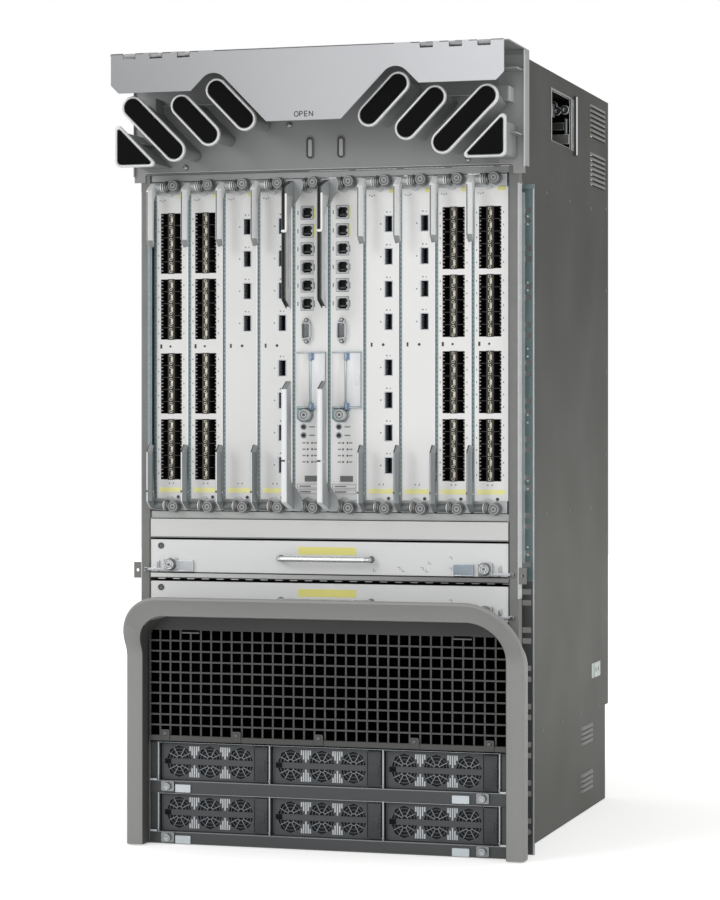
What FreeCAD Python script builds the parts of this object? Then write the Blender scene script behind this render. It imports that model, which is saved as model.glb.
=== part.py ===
import FreeCAD, Part
import math
import os

# A modular ethernet router in a 21-unit rack chassis, in millimetres.
# Drawing frame: x runs to the right, y to the back from the front of the
# mounting flanges, and z up from the floor. Every piece is moved along y as it
# is written, so that the origin is the middle of the footprint.

# Envelope of the chassis
rack_unit = 44.45
height_in_units = 21
rack_width = 482.6
ear_reach = 19.05
bay_depth = 500.0
rear_clearance = 36.0
rear_step = 20.5
foot_height = 125.0
hood_reach = 88.0
sheet = 1.6
seat_gap = 0.3

# Front flanges of the side panels and the tabs that carry the bezel
flange_inset = 9.4
flange_return = 17.0
front_gap = 0.75
tab_z = 317.0
tab_height = 19.0
tab_hole_radius = 2.0

# Lift pocket, catch strip, louvres and earth pad of a side panel
pocket_y = 216.0
pocket_length = 108.0
pocket_height = 63.0
pocket_drop = 21.5
pocket_depth = 26.0
strip_y = 345.0
strip_width = 8.0
strip_proud = 3.0
strip_overhang = 6.0
louvre_inset = 22.5
louvre_length = 94.0
louvre_slot = 3.2
louvre_pitch = 6.4
louvre_rows = 7
louvre_drops = (56.5, 119.5)
vent_inset = 85.0
vent_length = 69.0
vent_rows = 4
vent_heights = (26.0, 87.0)
earth_inset = 39.0
earth_z = 168.0
earth_length = 33.0
earth_height = 19.0
earth_proud = 0.8
earth_hole_radius = 3.3
earth_hole_spacing = 15.875

# Rack ears
ear_y = 40.0
ear_sheet = 2.0
ear_height = 775.0
ear_slot_length = 10.3
ear_slot_height = 6.4
ear_slot_inset = 8.75
ear_first_slot = 26.5
ear_pair_spacing = 12.7
ear_slot_units = 17
ear_mount_units = (0, 16)

# Heights of the stacked bays, from the floor upwards
tray_pitch = 61.0
tray_count = 2
tray_rail_height = 14.8
grille_height = 151.0
bay_gap = 2.4
fan_tray_height = 38.4
shelf_gap = 4.8
shelf_rail_height = 4.0
trough_height = 23.6
lip_height = 8.0
lip_y = 2.5
card_gap = 0.9
hood_height = 134.5

# Power trays, power modules and mains inlets
tray_margin = 10.2
modules_per_tray = 3
partition_sheet = 2.0
module_side_gap = 0.7
module_front_y = 6.0
module_height = 44.5
fans_per_module = 3
fan_guard_radius = 15.3
fan_guard_facets = 4
fan_guard_bar = 7.0
fan_guard_margin = 2.8
fan_guard_depth = 3.0
module_grip_width = 17.0
module_grip_proud = 4.0
inlet_width = 40.0
inlet_height = 30.0
inlet_length = 22.0
inlet_flange = 4.0
inlet_flange_sheet = 1.5
inlet_wall = 5.0
inlet_socket_depth = 17.0

# Intake grille and filter
grille_y = -4.5
grille_bar = 2.0
grille_bar_depth = 1.5
grille_columns = 34
grille_rows = 10
grille_top_band = 17.3
grille_foot_band = 8.0
filter_thickness = 12.0

# Lower bezel
bezel_leg_reach = 22.0
bezel_brow_reach = 32.0
bezel_leg_width = 21.3
bezel_brow_height = 23.7
bezel_height = 296.4
bezel_foot = 1.0
bezel_outer_radius = 50.0
bezel_wall = 3.0
bezel_step_z = 236.0
bezel_step_height = 18.0
bezel_step_ease = 0.15
bezel_relief_gap = 3.0

# Fan trays and their handles
fan_tray_front_y = 0.5
fan_tray_front_sheet = 2.0
fan_tray_wall_height = 30.0
fan_radius = 88.0
fan_sides = 6
fan_rows = 2
fan_columns = 2
fan_hub_radius = 32.0
fan_arm_width = 8.0
handle_span = 118.0
handle_reach = 20.0
handle_rod_radius = 3.0
handle_bend_radius = 8.0
handle_height = 18.0
fan_screw_inset = 24.0
fan_screw_height = 9.0
fan_bracket_size = 14.0
fan_bracket_proud = 4.0
runner_width = 14.0

# Cards and their slots
slot_count = 10
slot_margin = 2.45
gasket_gap = 3.64
plate_front_y = 7.0
plate_sheet = 1.6
plate_return = 11.0
end_bracket_height = 14.0
end_bracket_proud = 5.5
board_inset = 6.0
board_thickness = 2.4
board_setback = 32.0
board_margin = 2.0
guide_width = 9.0
guide_height = 14.0
connector_width = 8.0
connector_length = 14.0
connector_height = 260.0
socket_length = 15.7
backplane_thickness = 4.0
screw_offset = 26.9
screw_end_distance = 5.0
screw_radius = 6.4
screw_length = 12.5

# Ports, measured from the left edge of a plate and from its mid height
cage_depth = 30.0
cage_wall = 1.2
small_block_offset = 5.1
small_block_width = 26.6
small_port_pitch = 14.4
small_ports_per_block = 5
small_centre_strip = 8.0
small_block_gap = 6.9
small_middle_gap = 16.6
large_port_offset = 22.0
large_port_width = 10.0
large_port_height = 19.0
large_port_pitch = 38.2
large_ports_per_half = 4
large_middle_gap = 34.4
jack_centre = 14.3
jack_size = 13.5
jack_pitch = 21.45
jack_count = 6
jack_top = 156.3
serial_height = 24.0
serial_width = 9.0
serial_mid = 17.0
serial_proud = 4.0
flash_door_top = -8.0
flash_door_height = 66.0
flash_door_proud = 2.5
flash_door_margin = 2.5
button_centre = 10.0
button_heights = (-96.2, -106.2)
button_radius = 2.4
button_proud = 2.0
button_length = 9.0
button_travel = 1.5

# Ejector levers: those of the controllers are longer and stand further out
lever_width = 6.5
lever_reach = 27.6
lever_depth = 10.0
lever_length = 74.0
long_lever_reach = 43.6
long_lever_depth = 17.6
long_lever_length = 148.0
lever_tip = 10.0
lever_web_slope = 1.8
lever_heel_radius = 5.0
lever_heel_turn = 33.0
lever_hub_radius = 4.6
lever_hub_sides = 6
lever_hub_end = 15.4
pivot_end_distance = 6.0
ear_plate = 1.6

# Cable hood and its guides: insets from the rack's edge, heights from the hood's foot
hood_inset = 1.3
hood_sheet = 1.5
hood_return = 20.0
hood_tab_width = 14.0
hood_tab_drop = 9.0
hood_slot_centre = 19.0
hood_slot_height = 27.0
hood_slot_width = 8.0
hood_slot_length = 25.0
hood_slot_proud = 2.0
guide_reach = 77.0
guide_cap_thickness = 5.0
guide_radius = 13.2
guide_rim = 2.8
guide_pad_thickness = 0.8
guide_post_width = 14.0
guide_ends = (
    ((166.3, 54.9), (132.0, 89.9)),
    ((122.4, 38.5), (88.7, 73.0)),
    ((79.6, 21.5), (28.2, 72.5)),
)
corner_guide_inset = 5.9
corner_guide_foot = 2.8
corner_guide_size = 47.4
corner_guide_radius = 6.0
corner_guide_facets = 3

# Hood door and its hinge
door_sheet = 1.8
door_inset = 5.3
door_side_height = 46.4
door_tab_height = 84.4
door_chamfer = 9.5
door_guide_gap = 4.5
hinge_drop = 3.0
hinge_pin_radius = 1.2
knuckle_half = 2.0
knuckle_length = 14.0
knuckle_gap = 0.6
knuckle_notch = 7.0
knuckle_insets = (123.3, 89.3, 55.3)

# Rear panel
exhaust_columns = 6
exhaust_rows = 2
exhaust_bar = 10.0
exhaust_height = 240.0
exhaust_drop = 40.0
exhaust_margin = 20.0

# Facets of small repeated rounds
knob_sides = 8
bar_end_facets = 5

# Heights and places that follow from the sizes above
overall_height = rack_unit * height_in_units
half_rack = rack_width / 2
grille_z = tray_pitch * tray_count
lower_fan_z = grille_z + grille_height + bay_gap
shelf_z = lower_fan_z + fan_tray_height + shelf_gap
upper_fan_z = shelf_z + shelf_rail_height + bay_gap
trough_z = upper_fan_z + fan_tray_height + bay_gap
cage_floor_z = trough_z + trough_height
card_z = cage_floor_z + lip_height + card_gap
hood_z = overall_height - hood_height
cage_roof_z = hood_z
card_height = cage_roof_z - lip_height - card_gap - card_z
card_mid = card_z + card_height / 2
half_body = half_rack - ear_reach
half_inside = half_body - sheet
half_front = half_inside - front_gap
flange_half_width = half_rack - flange_inset
hood_half_width = half_rack - hood_inset
door_half_width = half_rack - door_inset
corner_guide_x = half_rack - corner_guide_inset
foot_depth = module_front_y + bay_depth + rear_clearance
body_depth = foot_depth + rear_step
louvre_y = body_depth - louvre_inset - louvre_length
vent_y = foot_depth - vent_inset - vent_length
earth_y = foot_depth - earth_inset - earth_length
front_plane_y = (hood_reach - body_depth) / 2
module_pitch = 2 * (half_front - tray_margin) / modules_per_tray
slot_pitch = 2 * (half_inside - slot_margin) / slot_count
plate_width = slot_pitch - gasket_gap
bracket_y = plate_front_y - end_bracket_proud
pivot_y = bracket_y - seat_gap - lever_heel_radius
board_z = card_z + board_margin
board_back_y = plate_front_y + bay_depth - board_setback
backplane_y = board_back_y + connector_length + seat_gap + socket_length

Vec = FreeCAD.Vector
small_card = "small_ports"
half_card = "four_large_ports"
full_card = "eight_large_ports"
controller = "controller"
card_kinds = (
    small_card, small_card, half_card, full_card, controller,
    controller, full_card, half_card, small_card, small_card,
)


def box(x0, x1, y0, y1, z0, z1):
    return Part.makeBox(x1 - x0, y1 - y0, z1 - z0, Vec(x0, y0, z0))


def pull(corners, reach):
    return Part.Face(Part.makePolygon(corners + corners[:1])).extrude(reach)


def prism_x(points, x0, x1):
    return pull([Vec(x0, y, z) for y, z in points], Vec(x1 - x0, 0, 0))


def prism_y(points, y0, y1):
    return pull([Vec(x, y0, z) for x, z in points], Vec(0, y1 - y0, 0))


def prism_z(points, z0, z1):
    return pull([Vec(x, y, z0) for x, y in points], Vec(0, 0, z1 - z0))


def ring(centre_u, centre_v, radius, sides):
    # Corners of a regular polygon with a flat side at its foot.
    turns = [2 * math.pi * (i + 0.5) / sides for i in range(sides)]
    return [(centre_u + radius * math.sin(t), centre_v - radius * math.cos(t)) for t in turns]


def knob_y(x, z, radius, y0, y1):
    return prism_y(ring(x, z, radius, knob_sides), y0, y1)


def rounded(points, radius, facets):
    # The outline with each corner replaced by a facetted round.
    outline = []
    for i, (u, v) in enumerate(points):
        back, ahead = [math.atan2(far[1] - v, far[0] - u)
                       for far in (points[i - 1], points[(i + 1) % len(points)])]
        turn = (ahead - back + math.pi) % (2 * math.pi) - math.pi
        middle = back + turn / 2
        reach = radius / abs(math.sin(turn / 2))
        centre_u, centre_v = u + reach * math.cos(middle), v + reach * math.sin(middle)
        sweep = math.copysign(math.pi - abs(turn), -turn)
        for step in range(facets + 1):
            way = middle + math.pi + sweep * (step / facets - 0.5)
            outline.append((centre_u + radius * math.cos(way), centre_v + radius * math.sin(way)))
    return outline


def round_x(y, z, radius, x0, x1):
    return Part.makeCylinder(radius, x1 - x0, Vec(x0, y, z), Vec(1, 0, 0))


def bar_y(ends, radius, y0, y1):
    # A bar with facetted round ends, drawn in x and z and pulled along y.
    (xa, za), (xb, zb) = ends
    heading = math.atan2(zb - za, xb - xa) - math.pi / 2
    steps = [heading + math.pi * i / bar_end_facets for i in range(bar_end_facets + 1)]
    points = [(xb + radius * math.cos(t), zb + radius * math.sin(t)) for t in steps]
    points += [(xa - radius * math.cos(t), za - radius * math.sin(t)) for t in steps]
    return prism_y(points, y0, y1)


def slot_y(ends, radius, y0, y1):
    # A slot with true round ends, drawn in x and z and pulled along y.
    (xa, za), (xb, zb) = ends
    length = math.hypot(xb - xa, zb - za)
    across = Vec(zb - za, 0, xa - xb) * (radius / length)
    along = Vec(xb - xa, 0, zb - za) * (radius / length)
    start = Vec(xa, y0, za)
    end = Vec(xb, y0, zb)
    edges = [
        Part.LineSegment(start + across, end + across).toShape(),
        Part.Arc(end + across, end + along, end - across).toShape(),
        Part.LineSegment(end - across, start - across).toShape(),
        Part.Arc(start - across, start - along, start + across).toShape(),
    ]
    return Part.Face(Part.Wire(edges)).extrude(Vec(0, y1 - y0, 0))


def joined(first, *others):
    return first.fuse(list(others)).removeSplitter()


def mirrored(shape):
    return shape.mirror(Vec(0, 0, 0), Vec(1, 0, 0))


def both_sides(shape):
    return [shape, mirrored(shape)]


def write(node, solids):
    shape = Part.makeCompound(solids) if len(solids) > 1 else solids[0]
    shape.translate(Vec(0, front_plane_y, 0))
    shape.exportStep("parts/" + node + ".step")


# Sheet metal of the chassis

def slot_rows(y0, length, z0, rows):
    cuts = []
    for row in range(rows):
        z = z0 + row * louvre_pitch
        cuts.append(box(half_inside - sheet, half_body + sheet, y0, y0 + length, z, z + louvre_slot))
    return cuts


def side_panel(with_earth_pad):
    flange_inner = flange_half_width - sheet
    panel = prism_z([
        (half_inside, 0), (flange_half_width, 0), (flange_half_width, flange_return),
        (flange_inner, flange_return), (flange_inner, sheet), (half_body, sheet),
        (half_body, body_depth), (half_inside, body_depth),
    ], 0, overall_height)
    pocket_z = overall_height - pocket_drop - pocket_height
    pocket_end = pocket_y + pocket_length
    pocket_top = pocket_z + pocket_height
    pan_x = half_inside - pocket_depth
    pan = box(pan_x - sheet, half_inside, pocket_y - sheet, pocket_end + sheet,
              pocket_z - sheet, pocket_top + sheet)
    tab = box(flange_inner, half_rack, 0, sheet, tab_z, tab_z + tab_height)
    strip = box(half_body, half_body + strip_proud, strip_y, strip_y + strip_width,
                pocket_z - strip_overhang, pocket_top + strip_overhang)
    pieces = [pan, tab, strip]
    cuts = [
        box(half_inside - sheet, half_body + sheet, foot_depth, body_depth + sheet,
            -sheet, foot_height),
        box(pan_x, half_body + sheet, pocket_y, pocket_end, pocket_z, pocket_top),
        knob_y((flange_half_width + half_rack) / 2, tab_z + tab_height / 2,
               tab_hole_radius, -sheet, 2 * sheet),
    ]
    if with_earth_pad:
        pieces.append(box(half_body, half_body + earth_proud, earth_y, earth_y + earth_length,
                          earth_z, earth_z + earth_height))
        for side in (-1, 1):
            hole_y = earth_y + earth_length / 2 + side * earth_hole_spacing / 2
            cuts.append(prism_x(ring(hole_y, earth_z + earth_height / 2, earth_hole_radius, knob_sides),
                                half_inside - sheet, half_body + 2 * earth_proud))
    for drop in louvre_drops:
        cuts += slot_rows(louvre_y, louvre_length, overall_height - drop, louvre_rows)
    for height in vent_heights:
        cuts += slot_rows(vent_y, vent_length, height, vent_rows)
    return joined(panel, *pieces).cut(cuts)


def end_panels():
    top = box(-half_inside, half_inside, 0, body_depth - sheet,
              overall_height - sheet, overall_height)
    floor = box(-half_inside, half_inside, sheet, foot_depth - sheet, 0, sheet)
    return [top, floor]


def rear_panel():
    upper = box(-half_inside, half_inside, body_depth - sheet, body_depth, foot_height, overall_height)
    step = box(-half_inside, half_inside, foot_depth - sheet, body_depth, foot_height, foot_height + sheet)
    lower = box(-half_inside, half_inside, foot_depth - sheet, foot_depth, 0, foot_height + sheet)
    cuts = []
    span = 2 * (half_inside - exhaust_margin)
    window_width = (span - exhaust_bar * (exhaust_columns - 1)) / exhaust_columns
    window_height = (exhaust_height - exhaust_bar * (exhaust_rows - 1)) / exhaust_rows
    for column in range(exhaust_columns):
        for row in range(exhaust_rows):
            x = -span / 2 + column * (window_width + exhaust_bar)
            z = overall_height - exhaust_drop - exhaust_height + row * (window_height + exhaust_bar)
            cuts.append(box(x, x + window_width, body_depth - 2 * sheet, body_depth + sheet,
                            z, z + window_height))
    for x, z in inlet_centres():
        cuts.append(box(x - inlet_width / 2 - seat_gap, x + inlet_width / 2 + seat_gap,
                        foot_depth - 2 * sheet, foot_depth + sheet,
                        z - inlet_height / 2 - seat_gap, z + inlet_height / 2 + seat_gap))
    return joined(upper, step, lower).cut(cuts)


def rack_ear():
    # The slots that carry the chassis have round ends, the spare ones square ends.
    edge = half_rack
    plate = box(half_body, edge, ear_y, ear_y + ear_sheet, 0, ear_height)
    leg = box(half_body, half_body + ear_sheet, flange_return + seat_gap, ear_y, 0, ear_height)
    centre = edge - ear_slot_inset
    y0 = ear_y - ear_sheet
    y1 = ear_y + 2 * ear_sheet
    half_length = ear_slot_length / 2
    half_height = ear_slot_height / 2
    reach = half_length - half_height
    cuts = []
    for unit in range(ear_slot_units):
        base = ear_first_slot + unit * rack_unit
        spare_heights = [base, base + ear_pair_spacing]
        if unit in ear_mount_units:
            spare_heights.remove(base)
            cuts.append(slot_y(((centre - reach, base), (centre + reach, base)), half_height, y0, y1))
        for z in spare_heights:
            cuts.append(box(centre - half_length, centre + half_length, y0, y1,
                            z - half_height, z + half_height))
    return joined(plate, leg).cut(cuts)


# Lower bay: power trays, power modules, mains inlets, grille, filter and bezel

def module_centre(column):
    return (column - (modules_per_tray - 1) / 2) * module_pitch


def inlet_centres():
    bay_mid = (tray_rail_height + tray_pitch) / 2
    centres = []
    for tray in range(tray_count):
        for column in range(modules_per_tray):
            centres.append((module_centre(column), tray * tray_pitch + bay_mid))
    return centres


def power_tray(tray):
    base = tray * tray_pitch + (sheet if tray == 0 else 0)
    shelf = tray * tray_pitch + tray_rail_height
    back = module_front_y + bay_depth + sheet
    pan = prism_x([
        (0, base), (sheet, base), (sheet, shelf - sheet), (back, shelf - sheet), (back, shelf), (0, shelf),
    ], -half_front, half_front)
    pieces = [pan]
    for edge in range(modules_per_tray + 1):
        x = (edge - modules_per_tray / 2) * module_pitch
        pieces.append(box(x - partition_sheet / 2, x + partition_sheet / 2, 0, back,
                          shelf, (tray + 1) * tray_pitch))
    return pieces


def fan_guard(x, z):
    # A round recess, split by a level bar across its middle.
    halves = []
    for side in (-1, 1):
        points = []
        for step in range(fan_guard_facets + 1):
            turn = math.pi * step / fan_guard_facets
            points.append((x + fan_guard_radius * math.cos(turn),
                           z + side * (fan_guard_bar / 2 + fan_guard_radius * math.sin(turn))))
        halves.append(prism_y(points, module_front_y - sheet, module_front_y + fan_guard_depth))
    return halves


def power_module(tray, column):
    centre = module_centre(column)
    half = (module_pitch - partition_sheet) / 2 - module_side_gap
    base = tray * tray_pitch + tray_rail_height
    mid = base + module_height / 2
    body = box(centre - half, centre + half, module_front_y, module_front_y + bay_depth,
               base, base + module_height)
    grip_x = centre + half - module_grip_width
    grip = box(grip_x, centre + half, module_front_y - module_grip_proud, module_front_y,
               base + sheet, base + module_height - sheet)
    guards = []
    first_x = centre - half + fan_guard_margin
    guard_pitch = (grip_x - first_x) / fans_per_module
    for fan in range(fans_per_module):
        guards += fan_guard(first_x + (fan + 0.5) * guard_pitch, mid)
    return joined(body.cut(guards), grip)


def mains_inlet(x, z):
    half_width = inlet_width / 2
    half_height = inlet_height / 2
    back = foot_depth + inlet_flange_sheet
    body = box(x - half_width, x + half_width, back - inlet_length, back, z - half_height, z + half_height)
    flange = box(x - half_width - inlet_flange, x + half_width + inlet_flange, foot_depth, back,
                 z - half_height - inlet_flange, z + half_height + inlet_flange)
    socket = box(x - half_width + inlet_wall, x + half_width - inlet_wall,
                 back - inlet_socket_depth, back + sheet,
                 z - half_height + inlet_wall, z + half_height - inlet_wall)
    return joined(body, flange).cut(socket)


def intake_grille():
    # Cross bars lie in front of the uprights and touch them.
    front = grille_y - grille_bar_depth
    back = grille_y + grille_bar_depth
    top = grille_z + grille_height
    opening_z = grille_z + grille_foot_band
    opening_height = grille_height - grille_foot_band - grille_top_band
    bars = [
        box(-half_front, half_front, front, 0, grille_z, opening_z),
        box(-half_front, half_front, front, 0, top - grille_top_band, top),
    ]
    for column in range(grille_columns + 1):
        x = -half_front + (2 * half_front - grille_bar) * column / grille_columns
        bars.append(box(x, x + grille_bar, grille_y, back, opening_z, top - grille_top_band))
    for row in range(1, grille_rows):
        z = opening_z + opening_height * row / grille_rows - grille_bar / 2
        bars.append(box(-half_front, half_front, front, grille_y, z, z + grille_bar))
    return bars


def air_filter():
    return box(-half_front, half_front, 0, filter_thickness, grille_z, grille_z + grille_height)


def arch(half_width, top, radius, y0, y1, foot):
    # Two uprights and a crossing with rounded shoulders, closed at the foot.
    bend = radius * math.sqrt(0.5)
    shoulder = top - radius
    inset = half_width - radius

    def at(x, z):
        return Vec(x, y0, z)

    edges = [
        Part.LineSegment(at(-half_width, foot), at(-half_width, shoulder)).toShape(),
        Part.Arc(at(-half_width, shoulder), at(-inset - bend, shoulder + bend), at(-inset, top)).toShape(),
        Part.LineSegment(at(-inset, top), at(inset, top)).toShape(),
        Part.Arc(at(inset, top), at(inset + bend, shoulder + bend), at(half_width, shoulder)).toShape(),
        Part.LineSegment(at(half_width, shoulder), at(half_width, foot)).toShape(),
        Part.LineSegment(at(half_width, foot), at(-half_width, foot)).toShape(),
    ]
    return Part.Face(Part.Wire(edges)).extrude(Vec(0, y1 - y0, 0))


def bezel_front(inset):
    # What stands in front of the bezel's face, set back by inset.
    leg = inset - bezel_leg_reach
    brow = inset - bezel_brow_reach
    middle = (leg + brow) / 2
    half_step = bezel_step_height / 2
    step_mid = bezel_step_z + half_step
    far = -2 * bezel_brow_reach
    quarter = half_step / 2
    ease = (leg - brow) * bezel_step_ease

    def at(y, z):
        return Vec(-rack_width, y, z)

    top = at(brow, bezel_height + bezel_wall)
    upper = at(brow, step_mid + half_step)
    lower = at(leg, step_mid - half_step)
    centre = at(middle, step_mid)
    edges = [
        Part.LineSegment(top, upper).toShape(),
        Part.Arc(upper, at(brow + ease, step_mid + quarter), centre).toShape(),
        Part.Arc(centre, at(leg - ease, step_mid - quarter), lower).toShape(),
        Part.LineSegment(lower, at(leg, -bezel_wall)).toShape(),
        Part.LineSegment(at(leg, -bezel_wall), at(far, -bezel_wall)).toShape(),
        Part.LineSegment(at(far, -bezel_wall), at(far, bezel_height + bezel_wall)).toShape(),
        Part.LineSegment(at(far, bezel_height + bezel_wall), top).toShape(),
    ]
    return Part.Face(Part.Wire(edges)).extrude(Vec(2 * rack_width, 0, 0))


def lower_bezel():
    # A moulded arch, hollow behind, with a brow that steps forward over the legs and
    # reliefs for the handle of the lower fan tray and the corners of the grille.
    front = -bezel_brow_reach
    half_outer = half_rack
    half_inner = half_outer - bezel_leg_width
    inner_radius = bezel_outer_radius - bezel_leg_width
    inner_top = bezel_height - bezel_brow_height
    outer = arch(half_outer, bezel_height, bezel_outer_radius, front, 0, bezel_foot)
    inner = arch(half_inner, inner_top, inner_radius, front - sheet, sheet, -bezel_foot)
    hollow_outer = arch(half_outer - bezel_wall, bezel_height - bezel_wall,
                        bezel_outer_radius - bezel_wall, front, sheet, bezel_foot + bezel_wall)
    hollow_inner = arch(half_inner + bezel_wall, inner_top + bezel_wall,
                        inner_radius + bezel_wall, front - sheet, 2 * sheet, -bezel_foot)
    shell = outer.cut([inner, bezel_front(0)])
    hollow = hollow_outer.cut([hollow_inner, bezel_front(bezel_wall)])
    relief_half = handle_span / 2 + handle_rod_radius + bezel_relief_gap
    relief = box(-relief_half, relief_half, -handle_reach - bezel_relief_gap, sheet,
                 bezel_height - 2 * bezel_wall, bezel_height + bezel_wall)
    grille_seat = box(-half_front - seat_gap, half_front + seat_gap, grille_y - grille_bar_depth - seat_gap,
                      sheet, grille_z, grille_z + grille_height + seat_gap)
    return shell.cut([hollow, relief, grille_seat])


# Fan trays and the panels between the bays

def rod_handle(base_z):
    half = handle_span / 2
    rod_y = -handle_reach + handle_rod_radius
    bend = handle_bend_radius
    z = base_z + handle_height
    left = [(-half, fan_tray_front_y), (-half, rod_y + bend), (-half + bend, rod_y)]
    right = [(-x, y) for x, y in reversed(left)]
    path = Part.makePolygon([Vec(x, y, z) for x, y in left + right])
    corners = [Vec(x, fan_tray_front_y, v) for x, v in ring(-half, z, handle_rod_radius, knob_sides)]
    return path.makePipeShell([Part.makePolygon(corners + corners[:1])], True, True, 1)


def fan_tray(base_z):
    # Front panel, open tray with round air ways, fan hubs on an arm each, screws and handle.
    back = fan_tray_front_y + bay_depth
    floor_y = fan_tray_front_y + fan_tray_front_sheet
    wall_top = base_z + fan_tray_wall_height
    front = box(-half_front, half_front, fan_tray_front_y, floor_y, base_z, base_z + fan_tray_height)
    floor = box(-half_front, half_front, floor_y, back, base_z, base_z + sheet)
    walls = [
        box(side - sheet / 2, side + sheet / 2, floor_y, back, base_z + sheet, wall_top)
        for side in (-half_front + sheet / 2, half_front - sheet / 2)
    ]
    walls.append(box(-half_front, half_front, back - sheet, back, base_z + sheet, wall_top))
    air_ways = []
    arms = []
    column_pitch = 2 * half_front / fan_columns
    row_pitch = (back - floor_y) / fan_rows
    for column in range(fan_columns):
        for row in range(fan_rows):
            x = -half_front + (column + 0.5) * column_pitch
            y = floor_y + (row + 0.5) * row_pitch
            air_ways.append(prism_z(ring(x, y, fan_radius, fan_sides), base_z - sheet, base_z + 2 * sheet))
            arms.append(box(x - fan_arm_width / 2, x + fan_arm_width / 2, y, y + fan_radius,
                            base_z, base_z + sheet))
            arms.append(prism_z(ring(x, y, fan_hub_radius, fan_sides), base_z, wall_top - sheet))
    screws = []
    for side in (-1, 1):
        x = side * (half_front - fan_screw_inset)
        z = base_z + fan_screw_height
        half = fan_bracket_size / 2
        screws.append(box(x - half, x + half, fan_tray_front_y - fan_bracket_proud, fan_tray_front_y,
                          base_z + sheet, z + half))
        screws.append(knob_y(x, z, screw_radius, fan_tray_front_y - fan_bracket_proud - screw_length / 2,
                             fan_tray_front_y - fan_bracket_proud))
    tray = joined(front, floor.cut(air_ways), *walls, *arms, *screws)
    return [tray, rod_handle(base_z)]


def fan_shelf(rail_z, rail_height, tray_z):
    # A front rail with two runners that carry a fan tray.
    rail = box(-half_front, half_front, 0, fan_tray_front_sheet, rail_z, rail_z + rail_height)
    runner_z = tray_z - seat_gap - sheet
    pieces = [rail]
    for x0, x1 in ((-half_front, runner_width - half_front), (half_front - runner_width, half_front)):
        pieces.append(box(x0, x1, 0, bay_depth, runner_z, runner_z + sheet))
    return joined(*pieces)


def front_cross_panels():
    trough_top = trough_z + trough_height
    trough = prism_x([
        (0, trough_z), (sheet, trough_z), (sheet, trough_top - sheet),
        (flange_return, trough_top - sheet), (flange_return, trough_top), (0, trough_top),
    ], -half_front, half_front)
    upper_shelf = fan_shelf(shelf_z, upper_fan_z - seat_gap - shelf_z, upper_fan_z)
    lower_rail_z = grille_z + grille_height
    lower_shelf = fan_shelf(lower_rail_z, lower_fan_z - seat_gap - lower_rail_z, lower_fan_z)
    return [trough, upper_shelf, lower_shelf]


# Card cage

def slot_left(slot):
    return (slot - slot_count / 2) * slot_pitch


def board_left(slot):
    return slot_left(slot) + gasket_gap + board_inset


def cage_shelf(plate_z, into_cage, board_edge_z):
    # A shelf with a front lip and one grooved guide under or over each card.
    plate = box(-half_front, half_front, lip_y, backplane_y, min(plate_z, plate_z + into_cage * sheet),
                max(plate_z, plate_z + into_cage * sheet))
    lip_end = plate_z + into_cage * lip_height
    lip = box(-half_front, half_front, lip_y, lip_y + sheet, min(plate_z, lip_end), max(plate_z, lip_end))
    guide_end = plate_z + into_cage * guide_height
    groove_z = board_edge_z - into_cage * seat_gap
    pieces = [lip]
    air_ways = []
    guide_y = plate_front_y + plate_sheet + plate_return
    for slot in range(slot_count):
        left = board_left(slot)
        centre = left + board_thickness / 2
        guide_x = centre - guide_width / 2
        guide = box(guide_x, guide_x + guide_width, guide_y, board_back_y,
                    min(plate_z, guide_end), max(plate_z, guide_end))
        groove = box(left - seat_gap, left + board_thickness + seat_gap, guide_y - sheet, board_back_y + sheet,
                     min(groove_z, guide_end + into_cage), max(groove_z, guide_end + into_cage))
        pieces.append(guide.cut(groove))
        way_x = guide_x + guide_width + sheet
        way_width = slot_pitch - guide_width - 2 * sheet
        if slot % 2 == 0:
            air_ways.append(box(way_x, way_x + way_width, guide_y, board_back_y,
                                plate_z - 2 * sheet, plate_z + 2 * sheet))
    return joined(plate.cut(air_ways), *pieces)


def backplane():
    board = box(-half_front, half_front, backplane_y, backplane_y + backplane_thickness,
                cage_floor_z, cage_roof_z)
    sockets = []
    for slot in range(slot_count):
        centre = board_left(slot) + board_thickness / 2
        sockets.append(box(centre - connector_width / 2, centre + connector_width / 2,
                           board_back_y + connector_length + seat_gap, backplane_y,
                           card_mid - connector_height / 2, card_mid + connector_height / 2))
    return joined(board, *sockets)


# Cards

def small_port_cage(left):
    # Four blocks, each with a column of ports on either side of a bright middle strip.
    block_height = small_port_pitch * small_ports_per_block
    x0 = left + small_block_offset
    x1 = x0 + small_block_width
    column = (small_block_width - small_centre_strip) / 2
    y1 = plate_front_y + cage_depth
    above = small_middle_gap / 2
    starts = [above, above + block_height + small_block_gap]
    starts += [-start - block_height for start in starts]
    reach = max(starts) + block_height + cage_wall
    cages = [box(x0 - cage_wall, x1 + cage_wall, plate_front_y + plate_sheet, y1 + cage_wall,
                 card_mid - reach, card_mid + reach)]
    ports = []
    for start in starts:
        z0 = card_mid + start
        z1 = z0 + block_height
        for x in (x0, x1 - column):
            ports.append(box(x, x + column, plate_front_y - sheet, y1, z0, z1))
    return cages, ports, []


def large_port_cage(left, halves):
    x0 = left + large_port_offset
    x1 = x0 + large_port_width
    y1 = plate_front_y + cage_depth
    span = large_port_pitch * (large_ports_per_half - 1) + large_port_height
    cages = []
    ports = []
    for half in halves:
        first = large_middle_gap / 2 if half > 0 else -large_middle_gap / 2 - span
        z0 = card_mid + first
        cages.append(box(x0 - cage_wall, x1 + cage_wall, plate_front_y + plate_sheet, y1 + cage_wall,
                         z0 - cage_wall, z0 + span + cage_wall))
        for row in range(large_ports_per_half):
            port_z = z0 + row * large_port_pitch
            ports.append(box(x0, x1, plate_front_y - sheet, y1, port_z, port_z + large_port_height))
    return cages, ports, []


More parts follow.
